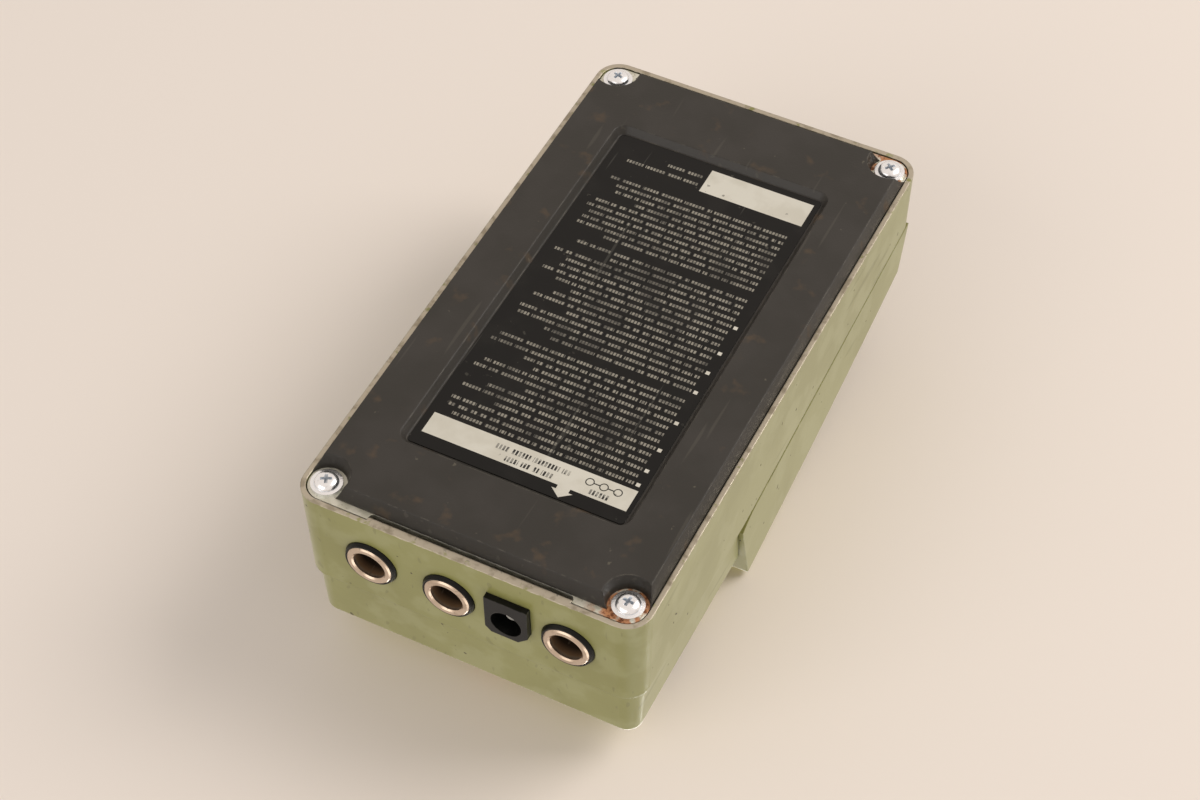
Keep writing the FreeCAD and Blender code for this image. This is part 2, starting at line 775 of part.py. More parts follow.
def make_housing_openings(body):
    screws = [(x, y, "screw_radius + slip") for x, y in CORNERS]
    hole_top = "cover_thickness + screw_length + screw_radius"
    cut_circles_up(body, "screw_holes", screws, "plate_inner", hole_top)
    outside, inside = "rear + rear_wall", "rear - upper_rear_wall"
    seats = [(x, "jack_z", "jack_ring_radius + slip") for x in JACKS.values()]
    cut_circles_along(body, "jack_seats", seats, outside, "rear - jack_seat_setback")
    holes = [(x, "jack_z", "jack_sleeve_radius + slip") for x in JACKS.values()]
    cut_circles_along(body, "jack_holes", holes, outside, inside)
    sketch = start_sketch(body, "socket_hole", "XZ_Plane", f"-({outside})")
    draw_outline(sketch, socket_outline("slip"))
    extrude("Pocket", sketch, f"{outside} - ({inside})", reverse=True)
    bushes = [(x, "knob_y", "pot_bush_radius + slip") for x in KNOBS.values()]
    bushes.append(("0", "light_y", "bezel_neck_radius + slip"))
    cut_circles_up(body, "panel_holes", bushes, "panel_under - panel_wall", "panel + panel_wall")
    cut_up(body, "battery_opening", rectangle(
        "tray_left - deck_opening_gap", "tray_right + deck_opening_gap",
        "tray_front - deck_opening_gap", "tray_rear + deck_opening_gap",
    ), None, "low_cavity", "deck + deck_wall")
    cut_circles_up(body, "switch_hole", [("0", "switch_y", "plunger_radius + slip")], "low_cavity", "deck")
    cut_up(body, "tongue_slot", rectangle(
        "tongue_left - tongue_slot_gap", "tongue_left + tongue_width + tongue_slot_gap",
        "tongue_y - tongue_thickness - tongue_foot_length - tongue_slot_lead", "tongue_y + tongue_slot_gap",
    ), None, "low_cavity", "deck")
    window = start_sketch(body, "catch_window", "YZ_Plane", "-(side + side_wall)")
    draw_outline(window, rectangle(
        "catch_y - (button_length + catch_depth)/2 - window_gap",
        "catch_y + catch_travel + (button_length - catch_depth)/2 + window_gap",
        "catch_z + catch_height/2 - button_height/2 - window_gap",
        "catch_z + catch_height/2 + button_height/2 + window_gap",
    ))
    extrude("Pocket", window, "side + side_wall - cavity_half + side_wall", reverse=True)


def make_hinge_ears(body):
    for side_name, (low, high) in {
        "right": ("housing_ear_inner", "housing_ear_outer"),
        "left": ("-housing_ear_outer", "-housing_ear_inner"),
    }.items():
        pad_between(body, f"{side_name}_ear_stem", rectangle(
            "hinge_y - hinge_ear_radius", "hinge_y + hinge_stem_back", "deck - deck_wall/2", "hinge_z",
        ), low, high)
        sketch = start_sketch(body, f"{side_name}_ear_eye", "YZ_Plane", low)
        draw_circles(sketch, [("hinge_y", "hinge_z", "hinge_ear_radius")])
        extrude("Pad", sketch, f"{high} - ({low})")
    cut_hinge_bore(body, "ear_bore", "side")


def make_housing():
    body = new_body("housing")
    make_housing_outside(body)
    make_housing_inside(body)
    make_housing_openings(body)
    make_hinge_ears(body)
    node(body, "housing")
    pin_base = ("-housing_ear_outer", "hinge_y", "hinge_z")
    node(rod("hinge_pin", "x", pin_base, "2*housing_ear_outer", "hinge_radius"), "hinge_pin")


def make_base():
    plate = new_body("base_plate")
    outline, arcs = inset("(rim_lip + plate_gap)")
    pad_up(plate, "plate_outline", outline, arcs, "cover_thickness", "plate_inner")
    through = ("cover_thickness - plate_thickness", "plate_inner + plate_thickness")
    notch, arcs = rounded_rectangle("notch_left", "notch_right", "rear - notch_depth", "rear", "notch_corner")
    cut_up(plate, "rear_notch", notch, arcs, *through)
    cut_circles_up(plate, "plate_holes", [(x, y, "screw_radius + slip") for x, y in CORNERS], *through)
    node(plate, "base_plate")

    cover = new_body("base_cover")
    outline, arcs = rounded_rectangle(
        "cover_side_inset - side", "side - cover_side_inset", "front + notch_depth", "rear - notch_depth",
        "cover_corner",
    )
    sketch = start_sketch(cover, "cover_outline", "XY_Plane", "cover_thickness")
    draw_outline(sketch, outline, arcs)
    extrude("Pad", sketch, "cover_thickness", reverse=True, taper="-atan(cover_slope/cover_thickness)")
    cutouts = [(x, y, "screw_cutout_radius + screw_cutout_slope") for x, y in CORNERS]
    slope = "-atan(screw_cutout_slope/cover_thickness)"
    cut_circles_up(cover, "screw_cutouts", cutouts, "0", "cover_thickness", taper=slope)
    outline, arcs = rounded_rectangle(
        "recess_left", "recess_right", "rear - recess_front_setback", "rear - recess_rear_setback",
        "recess_corner",
    )
    slope = "-atan(recess_slope/recess_depth)"
    cut_up(cover, "label_recess", outline, arcs, "0", "recess_depth", taper=slope)
    node(cover, "base_cover")

    label = new_body("base_label")
    outline, arcs = rounded_rectangle(
        "recess_left + label_margin", "recess_right - label_margin",
        "rear - recess_front_setback + label_margin", "rear - recess_rear_setback - label_margin",
        "notch_corner",
    )
    pad_up(label, "label_outline", outline, arcs, "recess_depth - label_thickness", "recess_depth")
    node(label, "base_label")

    insulator = block(
        "base_insulator", ("-insulator_width/2", "insulator_width/2"),
        ("front + insulator_margin", "rear - insulator_margin"),
        ("plate_inner", "plate_inner + insulator_thickness"),
    )
    node(insulator, "base_insulator")
    screws = [make_screw(f"base_screw_{number}", x, y) for number, (x, y) in enumerate(CORNERS, 1)]
    node(group("base_screws", screws), "base_screws")


def make_screw(name, x, y):
    """A flanged screw with a pan head below the plate and a shank in its boss."""
    body = new_body(name)
    flange = "cover_thickness - screw_flange_height"
    head = f"{flange} - screw_head_height"
    turn(body, f"{name}_profile", "XZ_Plane", "0", [
        ("0", head), ("screw_crown_radius", head), ("screw_head_radius", flange),
        ("screw_flange_radius", f"{flange} + screw_flange_height/2"),
        ("screw_flange_radius", "cover_thickness"),
        ("screw_radius", "cover_thickness"), ("screw_radius", "cover_thickness + screw_length"),
        ("0", "cover_thickness + screw_length"),
    ])
    place(body, x=x, y=y)
    return body


# Jacks, power socket and boards


def place(body, **formulas):
    for axis, formula in formulas.items():
        body.setExpression(f"Placement.Base.{axis}", linked(formula))


def make_jack(name, x):
    """One jack, turned about its own axis: collar and sleeve outside, body and contact behind the wall."""
    collar_bore = "jack_sleeve_radius + slip"
    collar_rim = "jack_ring_radius - jack_ring_slope"
    ring = new_body(f"{name}_jack_ring")
    turn(ring, f"{name}_ring_profile", "YZ_Plane", "0", [
        ("-jack_seat_setback", collar_bore), ("-jack_seat_setback", "jack_ring_radius"),
        ("0", "jack_ring_radius"), ("jack_ring_proud", collar_rim), ("jack_ring_proud", collar_bore),
    ], axis="H_Axis")
    sleeve = new_body(f"{name}_jack_sleeve")
    inner_end = "jack_sleeve_proud - jack_sleeve_length"
    turn(sleeve, f"{name}_sleeve_profile", "YZ_Plane", "0", [
        (inner_end, "jack_bore_radius"), (inner_end, "jack_sleeve_radius"),
        ("jack_sleeve_proud - jack_sleeve_edge", "jack_sleeve_radius"),
        ("jack_sleeve_proud", "jack_sleeve_radius - jack_sleeve_edge"),
        ("jack_sleeve_proud", "jack_bore_radius + jack_sleeve_edge"),
        ("jack_sleeve_proud - jack_sleeve_edge", "jack_bore_radius"),
    ], axis="H_Axis")
    for turned in (ring, sleeve):
        place(turned, x=x, y="rear", z="jack_z")

    sleeve_end = "rear + jack_sleeve_proud - jack_sleeve_length"
    outer_end = "jack_body_front - jack_contact_thickness"
    contact_z = "jack_z + jack_contact_rise"
    half, contact_half = "jack_body_width/2", "jack_contact_width/2"
    bore_base = (x, outer_end, "jack_z")
    shell = block(
        f"{name}_jack_shell", (f"{x} - {half}", f"{x} + {half}"), ("jack_body_front", "jack_body_rear"),
        ("jack_z - jack_body_height/2", "jack_z + jack_body_height/2"),
    )
    hollow = fuse(
        f"{name}_jack_hollow",
        rod(f"{name}_jack_neck", "y", (x, sleeve_end, "jack_z"), f"rear - ({sleeve_end})", collar_bore),
        rod(f"{name}_jack_bore", "y", bore_base, f"{sleeve_end} - ({outer_end})", "jack_body_bore_radius"),
        block(
            f"{name}_jack_slot", (f"{x} - {contact_half} - slip", f"{x} + {contact_half} + slip"),
            (outer_end, "rear - jack_contact_setback"), ("jack_z", f"{contact_z} + jack_contact_thickness"),
        ),
    )
    node(ring, f"{name}_jack_ring")
    node(sleeve, f"{name}_jack_sleeve")
    node(cut(f"{name}_jack_body", shell, hollow), f"{name}_jack_body")

    contact = new_body(f"{name}_jack_contact")
    contact_top = f"{contact_z} + jack_contact_thickness"
    pad_between(contact, f"{name}_contact_profile", [
        ("rear - jack_contact_setback", contact_z), ("rear - jack_contact_setback", contact_top),
        ("jack_body_front", contact_top), ("jack_body_front", "main_board_z"),
        (outer_end, "main_board_z"), (outer_end, contact_z),
    ], f"{x} - {contact_half}", f"{x} + {contact_half}")
    node(contact, f"{name}_jack_contact")


def make_power_socket():
    body = new_body("dc_socket")
    face = "rear + socket_proud"
    sketch = start_sketch(body, "socket_front", "XZ_Plane", f"-({face})")
    draw_outline(sketch, socket_outline("0"))
    extrude("Pad", sketch, "socket_length")
    hole_z = "rim + socket_bottom_rise + socket_hole_height"
    hole_end = f"{face} - socket_hole_depth"
    cut_circles_along(body, "socket_bore", [("socket_x", hole_z, "socket_hole_radius")], face, hole_end)
    node(body, "dc_socket")
    pin_base, pin_length = ("socket_x", hole_end, hole_z), "socket_hole_depth - socket_pin_recess"
    node(rod("dc_socket_pin", "y", pin_base, pin_length, "socket_pin_radius"), "dc_socket_pin")


def make_boards():
    board_x = ("-board_half", "board_half")
    main = block(
        "main_board", board_x, ("main_board_front", "jack_body_rear - board_rear_gap"),
        ("main_board_z", "main_board_z + board_thickness"),
    )
    node(main, "main_board")
    chips = []
    for number in range(SIZES["chip_count"]):
        low_x = f"({number} - (chip_count - 1)/2)*chip_pitch - chip_length/2"
        chips.append(block(
            f"chip_{number + 1}", (low_x, f"{low_x} + chip_length"),
            ("chip_y - chip_width/2", "chip_y + chip_width/2"),
            ("main_board_z - chip_height", "main_board_z"),
        ))
    node(group("board_chips", chips), "board_chips")
    capacitors = []
    for number in range(SIZES["capacitor_count"]):
        middle_x = f"({number} - (capacitor_count - 1)/2)*capacitor_pitch"
        base = (middle_x, "capacitor_y", "main_board_z - capacitor_height")
        capacitors.append(rod(f"capacitor_{number + 1}", "z", base, "capacitor_height", "capacitor_radius"))
    node(group("board_capacitors", capacitors), "board_capacitors")
    link = block(
        "board_link", ("-link_width/2", "link_width/2"),
        ("rear - link_setback", "rear - link_setback + link_depth"),
        ("main_board_z + board_thickness", "control_board_z"),
    )
    node(link, "board_link")
    control = block(
        "control_board", board_x,
        ("rear - block_front_setback + panel_wall + control_board_gap",
         "rear - upper_rear_wall - control_board_gap"),
        ("control_board_z", "control_board_top"),
    )
    node(control, "control_board")


# Controls on the panel


def make_control(name, x):
    """A control's body below the panel and its threaded bush through the panel."""
    half = "pot_width/2"
    bush_foot, bush_length = (x, "knob_y", "panel_under"), "panel_wall + pot_bush_height"
    solid = fuse(
        f"{name}_solid",
        block(f"{name}_can", (f"{x} - {half}", f"{x} + {half}"), (f"knob_y - {half}", f"knob_y + {half}"),
              ("control_board_top", "panel_under")),
        rod(f"{name}_bush", "z", bush_foot, bush_length, "pot_bush_radius"),
    )
    bore = rod(
        f"{name}_bore", "z", (x, "knob_y", "panel_under - shaft_socket_depth"),
        f"shaft_socket_depth + {bush_length}", "shaft_radius + slip",
    )
    node(cut(name, solid, bore), name)


def make_nut(name, x):
    hexagon = doc.addObject("Part::Prism", f"{name}_hexagon")
    hexagon.Polygon = 6
    hexagon.setExpression("Circumradius", linked("pot_nut_radius"))
    hexagon.setExpression("Height", linked("pot_nut_height"))
    place(hexagon, x=x, y="knob_y", z="panel")
    bore = rod(f"{name}_bore", "z", (x, "knob_y", "panel"), "pot_nut_height", "pot_bush_radius + slip")
    return cut(name, hexagon, bore)


def grip_outline():
    """A knob's grip seen from above: a flat land and then a groove, all the way round."""
    corners = []
    for number in range(SIZES["knob_flute_count"]):
        middle = f"{number}*360/knob_flute_count"
        for radius, angle in (
            ("knob_radius", f"{middle} - knob_land_angle/2"),
            ("knob_radius", f"{middle} + knob_land_angle/2"),
            ("(knob_radius - knob_flute_depth)", f"{middle} + 180/knob_flute_count"),
        ):
            corners.append((f"{radius}*cos({angle})", f"{radius}*sin({angle})"))
    return corners


def make_knob(name, x):
    """A grooved knob with a skirt, a recess for the nut, a bore for its shaft and a pointer groove."""
    knob = new_body(f"{name}_knob")
    turn(knob, f"{name}_knob_skirt", "XZ_Plane", "0", [
        ("0", "0"), ("knob_skirt_radius", "0"), ("knob_skirt_radius", "knob_skirt_height - knob_edge"),
        ("knob_skirt_radius - knob_edge", "knob_skirt_height"), ("0", "knob_skirt_height"),
    ])
    taper = "-atan((knob_radius - knob_top_radius)/(knob_height - knob_skirt_height))"
    grip = pad_up(knob, f"{name}_grip", grip_outline(), None, "knob_skirt_height", "knob_height", taper)
    top = value("knob_height")
    dress_edges(knob, grip, "Chamfer", "knob_edge", lambda edge: lies_at(edge, top))
    recess = [("0", "0", "knob_recess_radius")]
    cut_circles_up(knob, f"{name}_knob_recess", recess, "0", "knob_recess_depth")
    bore = [("0", "0", "shaft_radius + slip")]
    cut_circles_up(knob, f"{name}_knob_bore", bore, "0", "knob_height - knob_roof")
    half = "knob_pointer_width/2"
    pointer = rectangle(f"-{half}", half, "0", "knob_radius")
    cut_up(knob, f"{name}_pointer", pointer, None, "knob_height - knob_pointer_depth", "knob_height")
    place(knob, x=x, y="knob_y", z="panel + knob_gap")
    node(knob, f"{name}_knob")
    foot = "panel_under - shaft_socket_depth"
    length = f"knob_top - knob_roof - ({foot})"
    node(rod(f"{name}_shaft", "z", (x, "knob_y", foot), length, "shaft_radius"), f"{name}_shaft")


def make_light():
    body_z = "panel_under - light_body_depth"
    dome_z = "panel + light_proud - light_radius"
    dome = doc.addObject("Part::Sphere", "light_dome")
    dome.setExpression("Radius", linked("light_radius"))
    place(dome, x="0", y="light_y", z=dome_z)
    leads = [
        rod(f"light_lead_{name}", "z", (f"{sign}light_lead_spacing/2", "light_y", "control_board_top"),
            f"{body_z} - control_board_top + light_lead_radius", "light_lead_radius")
        for name, sign in (("left", "-"), ("right", ""))
    ]
    stem = rod("light_stem", "z", ("0", "light_y", body_z), f"{dome_z} - ({body_z})", "light_radius")
    node(fuse("panel_light", stem, dome, *leads), "panel_light")
    ring = fuse(
        "bezel_solid",
        rod("bezel_neck", "z", ("0", "light_y", "panel_under"), "panel_wall", "bezel_neck_radius"),
        rod("bezel_flange", "z", ("0", "light_y", "panel"), "bezel_height", "bezel_radius"),
    )
    foot, length = ("0", "light_y", "panel_under"), "panel_wall + bezel_height"
    hole = rod("bezel_hole", "z", foot, length, "light_radius + slip")
    node(cut("light_bezel", ring, hole), "light_bezel")


def make_controls():
    names = {"time": "time_pot", "repeat": "repeat_pot", "level": "level_pot", "range": "range_switch"}
    for knob, x in KNOBS.items():
        make_control(names[knob], x)
        make_knob(knob, x)
    node(group("pot_nuts", [make_nut(f"{knob}_nut", x) for knob, x in KNOBS.items()]), "pot_nuts")
    make_light()


# Battery bay


def make_battery_bay():
    outer_y = ("tray_front", "tray_rear")
    shell = block("tray_shell", ("tray_left", "tray_right"), outer_y, ("tray_floor", "tray_top"))
    hollow = block(
        "tray_hollow", ("tray_left + tray_wall", "tray_right - tray_wall"),
        ("tray_front + tray_wall", "tray_rear - tray_wall"), ("battery_z", "tray_top"),
    )
    ribs = [
        block(f"tray_rib_{number + 2}",
              (f"{number}*tray_rib_pitch - tray_rib_width/2", f"{number}*tray_rib_pitch + tray_rib_width/2"),
              outer_y, ("tray_bottom", "tray_floor"))
        for number in (-1, 0, 1)
    ]
    node(fuse("battery_tray", cut("tray_box", shell, hollow), *ribs), "battery_tray")

    battery = new_body("battery")
    sketch = start_sketch(battery, "battery_end", "YZ_Plane", "battery_left")
    outline, arcs = rounded_rectangle(
        "battery_y - battery_width/2", "battery_y + battery_width/2", "battery_z", "battery_top",
        "battery_corner",
    )
    draw_outline(sketch, outline, arcs)
    extrude("Pad", sketch, "battery_right - battery_left")
    node(battery, "battery")
    snap_z = "battery_z + battery_height/2"
    snap = block(
        "battery_snap", ("battery_right", "battery_right + snap_depth"),
        ("battery_y - snap_width/2", "battery_y + snap_width/2"),
        (f"{snap_z} - snap_height/2", f"{snap_z} + snap_height/2"),
    )
    node(snap, "battery_snap")


def make_lid():
    lid = new_body("battery_lid")
    arm, end = "lid_arm_setback", "lid_front_setback"
    pad_across(lid, "lid_plate", [
        (f"rear - {arm}", lid_under(arm)), (f"rear - {end}", lid_under(end)),
        (f"rear - {end}", f"{lid_under(end)} + lid_thickness"),
        (f"rear - {arm}", f"{lid_under(arm)} + lid_thickness"),
    ], "lid_half")
    pad_across(lid, "lid_arms", [
        ("hinge_y", "hinge_z"), ("hinge_y", "hinge_z - hinge_ear_radius"), (f"rear - {arm}", lid_under(arm)),
        ("rear - deck_bend_setback", f"{lid_under('deck_bend_setback')} + lid_thickness/2"),
        ("hinge_y - hinge_ear_radius", "hinge_z"),
    ], "lid_ear_outer")
    knuckle = start_sketch(lid, "lid_knuckle", "YZ_Plane")
    draw_circles(knuckle, [("hinge_y", "hinge_z", "hinge_ear_radius")])
    extrude("Pad", knuckle, "2*lid_ear_outer", symmetric=True)
    cut_across(lid, "lid_gap_between_arms", rectangle(
        f"rear - {arm}", "hinge_y + 2*hinge_ear_radius",
        f"{lid_under(arm)} - lid_thickness", "hinge_z + 2*hinge_ear_radius",
    ), "lid_ear_inner")
    cut_hinge_bore(lid, "lid_bore", "side")
    tongue_x = ("tongue_left", "tongue_left + tongue_width")
    tongue_front = "tongue_y - tongue_thickness"
    pad_up(lid, "catch_tongue", rectangle(*tongue_x, tongue_front, "tongue_y"), None,
           "foot_z", f"{lid_under('tongue_setback')} + lid_thickness/2")
    pad_up(lid, "catch_foot", rectangle(*tongue_x, f"{tongue_front} - tongue_foot_length", "tongue_y"), None,
           "foot_z", "foot_z + tongue_foot_height")
    pad_circles_up(lid, "spring_seat", [("0", "spring_y", "spring_seat_radius")],
                   f"{lid_under('spring_setback')} + lid_thickness/2", "spring_bottom")
    trim = [f"spring_setback {sign} (spring_seat_radius + slip)" for sign in "-+"]
    cut_across(lid, "seat_trim", [
        (f"rear - ({trim[0]})", lid_under(f"({trim[0]})")),
        (f"rear - ({trim[1]})", lid_under(f"({trim[1]})")),
        (f"rear - ({trim[0]})", lid_under(f"({trim[1]})")),
    ], "spring_seat_radius + slip")
    node(lid, "battery_lid")

    foam = new_body("battery_pad")
    foam_rear = "tray_rear_setback + tray_wall + battery_pad_margin"
    foam_front = "tray_front_setback - tray_wall - battery_pad_margin"
    foam_z = "battery_top + battery_pad_gap"
    pad_between(foam, "foam_wedge", [
        (f"rear - ({foam_rear})", foam_z), (f"rear - ({foam_front})", foam_z),
        (f"rear - ({foam_front})", lid_under(foam_front)), (f"rear - ({foam_rear})", lid_under(foam_rear)),
    ], "battery_left + battery_pad_inset", "battery_right - battery_pad_inset")
    node(foam, "battery_pad")

    seat = ("0", "spring_y", "spring_bottom")
    height = "spring_top - spring_bottom"
    spring = cut(
        "treadle_spring", rod("spring_outside", "z", seat, height, "spring_radius"),
        rod("spring_inside", "z", seat, height, "spring_radius - spring_wire"),
    )
    node(spring, "treadle_spring")


# Treadle and footswitch


def make_treadle():
    body = new_body("treadle")
    lean_length = "sqrt(1 + skirt_lean^2)"
    reach = f"((hinge_setback - skirt_low_setback) - (hinge_rise - skirt_low_rise)*skirt_lean)/{lean_length}"
    drop = f"sqrt(skirt_corner_radius^2 - ({reach})^2)"
    foot_rise = f"(hinge_rise + (({reach})*skirt_lean - {drop})/{lean_length})"
    profile = [
        (f"rear - ({skirt_rear(foot_rise)})", f"rim + {foot_rise}"),
        ("hinge_y", "hinge_z - skirt_corner_radius"),
        ("rear - treadle_toe_setback", "rim + treadle_toe_rise"),
        ("rear - treadle_front_setback", "rim + treadle_front_rise"),
        ("rear - treadle_rear_setback", "rim + treadle_rear_rise"),
    ]
    arcs = {0: ("-", "skirt_corner_radius"), 3: ("-", "crown_radius")}
    cap = pad_across(body, "cap_profile", profile, "treadle_half", arcs)
    half = value("treadle_half")
    low = value("rim + treadle_front_rise")

    def is_top_edge(edge):
        box = edge.BoundBox
        along_side = abs(abs(box.Center.x) - half) < 0.001 and box.XLength < 0.001
        return box.ZMin > low - 0.1 and (along_side or box.XLength > half)

    dress_edges(body, cap, "Fillet", "treadle_edge_radius", is_top_edge)
    behind = "hinge_y + 2*skirt_corner_radius"
    wall_y = f"rear - ({skirt_rear('treadle_rear_wall_rise')}) - treadle_rear_wall"
    inner_rear = "treadle_rear_setback + treadle_rear_wall"
    inner_front = "treadle_front_setback - treadle_front_wall"
    cut_across(body, "cap_hollow", [
        (behind, "rim"), (behind, "rim + treadle_rear_wall_rise"),
        (wall_y, "rim + treadle_rear_wall_rise"),
        (f"rear - ({inner_rear})", f"{treadle_top(inner_rear)} - treadle_top_wall"),
        (f"rear - ({inner_front})", f"{treadle_top(inner_front)} - treadle_top_wall"),
        ("rear - treadle_toe_setback + treadle_front_wall", "rim + treadle_toe_rise"),
        ("rear - treadle_toe_setback + treadle_front_wall", "rim"),
    ], "skirt_half")
    seat_rear, seat_front = "treadle_rear_setback + pad_margin", "treadle_front_setback - pad_margin"
    cut_across(body, "pad_seat", [
        (f"rear - ({seat_rear})", f"{treadle_top(seat_rear)} + pad_seat_lift"),
        (f"rear - ({seat_front})", f"{treadle_top(seat_front)} + pad_seat_lift"),
        (f"rear - ({seat_front})", f"{treadle_top(seat_front)} + 2*treadle_crown"),
        (f"rear - ({seat_rear})", f"{treadle_top(seat_rear)} + 2*treadle_crown"),
    ], "treadle_half - pad_margin")
    under_ear = f"{treadle_top('hinge_setback')} - treadle_top_wall/2"
    for side_name, (low_x, high_x) in {
        "right": ("treadle_ear_inner", "treadle_ear_outer"),
        "left": ("-treadle_ear_outer", "-treadle_ear_inner"),
    }.items():
        pad_between(body, f"{side_name}_cap_ear", rectangle(
            "hinge_y - hinge_ear_radius", "hinge_y + hinge_ear_radius", "hinge_z", under_ear,
        ), low_x, high_x)
        eye = start_sketch(body, f"{side_name}_cap_eye", "YZ_Plane", low_x)
        draw_circles(eye, [("hinge_y", "hinge_z", "hinge_ear_radius")])
        extrude("Pad", eye, f"{high_x} - ({low_x})")
    cut_hinge_bore(body, "cap_bore", "treadle_ear_outer + slip")
    pad_circles_up(body, "spring_boss", [("0", "spring_y", "spring_seat_radius")],
                   "spring_top", f"{treadle_top('spring_setback')} - treadle_top_wall/2")
    pad_circles_up(body, "tip_boss", [("0", "switch_y", "switch_tip_radius + slip")],
                   "tip_top", f"{treadle_top('switch_setback')} - treadle_top_wall/2")
    node(body, "treadle")


def make_treadle_pad():
    pad = new_body("treadle_pad")
    half = "treadle_half - pad_margin - pad_fit"
    first = "treadle_rear_setback + pad_margin + pad_fit"
    last = "treadle_front_setback - pad_margin - pad_fit"
    seat = [f"{treadle_top(setback)} + pad_seat_lift" for setback in (first, last)]
    sheet_pad = pad_across(pad, "pad_sheet", [
        (f"rear - ({first})", seat[0]), (f"rear - ({last})", seat[1]),
        (f"rear - ({last})", f"{seat[1]} + pad_base"), (f"rear - ({first})", f"{seat[0]} + pad_base"),
    ], half)
    rib_rear = f"{first} + pad_end_margin"
    rib_front = f"{rib_rear} + pad_rib_width"
    rib_z = [f"{treadle_top(setback)} + pad_seat_lift + pad_base" for setback in (rib_rear, rib_front)]
    rib = pad_across(pad, "pad_rib", [
        (f"rear - ({rib_rear})", rib_z[0]), (f"rear - ({rib_front})", rib_z[1]),
        (f"rear - ({rib_front})", f"{rib_z[1]} + pad_rib_height"),
        (f"rear - ({rib_rear})", f"{rib_z[0]} + pad_rib_height"),
    ], half)
    ribs = pad.newObject("PartDesign::LinearPattern", "pad_ribs")
    ribs.Originals = [rib]
    ribs.Direction = (sheet_pad.Profile[0], ["Edge1"])
    run = f"{last} - ({first}) - 2*pad_end_margin - pad_rib_width"
    ribs.setExpression("Length", linked(f"({run})*sqrt(1 + treadle_slope^2)"))
    ribs.setExpression("Occurrences", linked("pad_rib_count"))
    pad.Tip = ribs
    node(pad, "treadle_pad")


def make_switch():
    board = block(
        "switch_board", ("-switch_board_width/2", "switch_board_width/2"),
        ("switch_y - switch_board_depth/2", "switch_y + switch_board_depth/2"),
        ("rim + switch_board_rise", "switch_board_top"),
    )
    node(board, "switch_board")
    half, top = "switch_width/2", "switch_board_top + switch_height"
    middle = (f"switch_y - {half}", f"switch_y + {half}")
    case = block("switch_case", (f"-{half}", half), middle, ("switch_board_top", top))
    well_base = ("0", "switch_y", f"{top} - switch_hole_depth")
    well = rod("switch_well", "z", well_base, "switch_hole_depth", "plunger_stem_radius + slip")
    node(cut("switch_body", case, well), "switch_body")

    foot = ("0", "switch_y", "plunger_bottom")
    stem_foot = ("0", "switch_y", "plunger_bottom - plunger_stem_length")
    plunger = fuse(
        "switch_plunger",
        rod("plunger_rod", "z", foot, "plunger_top - plunger_bottom", "plunger_radius"),
        rod("plunger_collar", "z", foot, "plunger_collar_height", "plunger_collar_radius"),
        rod("plunger_stem", "z", stem_foot, "plunger_stem_length", "plunger_stem_radius"),
    )
    node(plunger, "switch_plunger")
    tip = rod("switch_tip", "z", ("0", "switch_y", "tip_bottom"), "switch_tip_length", "switch_tip_radius")
    node(tip, "switch_tip")


def make_catch():
    """The sliding catch: a finger button in the left wall and a bar that goes over the lid's foot."""
    middle_y, middle_z = "catch_y - catch_depth/2", "catch_z + catch_height/2"
    button = block(
        "catch_button", ("-side - button_proud", "-button_inner"),
        (f"{middle_y} - button_length/2", f"{middle_y} + button_length/2"),
        (f"{middle_z} - button_height/2", f"{middle_z} + button_height/2"),
    )
    bar = block(
        "catch_bar", ("-button_inner", "tongue_left + tongue_width + tongue_slot_gap"),
        ("catch_y - catch_depth", "catch_y"), ("catch_z", "catch_z + catch_height"),
    )
    node(fuse("release_catch", button, bar), "release_catch")


def check_model():
    """Stops when an object has failed, a sub-part is not a sound solid or a pocket has cut nothing."""
    for item in doc.Objects:
        if "Invalid" in item.State or "Error" in item.State:
            raise RuntimeError(f"{item.Name} failed: {item.State}")
        if item.TypeId == "PartDesign::Pocket" and item.Shape.Volume > item.BaseFeature.Shape.Volume - 0.001:
            raise RuntimeError(f"{item.Name} cuts nothing")
    for name, item in nodes.items():
        if item.Shape.isNull() or not item.Shape.isValid():
            raise RuntimeError(f"{name} has no sound shape")


fill_sheet()
make_housing()
make_base()
for jack, jack_x in JACKS.items():
    make_jack(jack, jack_x)
make_power_socket()
make_boards()
make_controls()
make_battery_bay()
make_lid()
make_treadle()
make_treadle_pad()
make_switch()
make_catch()
doc.recompute()
check_model()
os.makedirs("parts", exist_ok=True)
for node_name, sub_part in nodes.items():
    sub_part.Shape.exportStep(f"parts/{node_name}.step")
print(len(nodes), "nodes")
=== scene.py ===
import math
import random

import bpy
from mathutils import Matrix, Vector


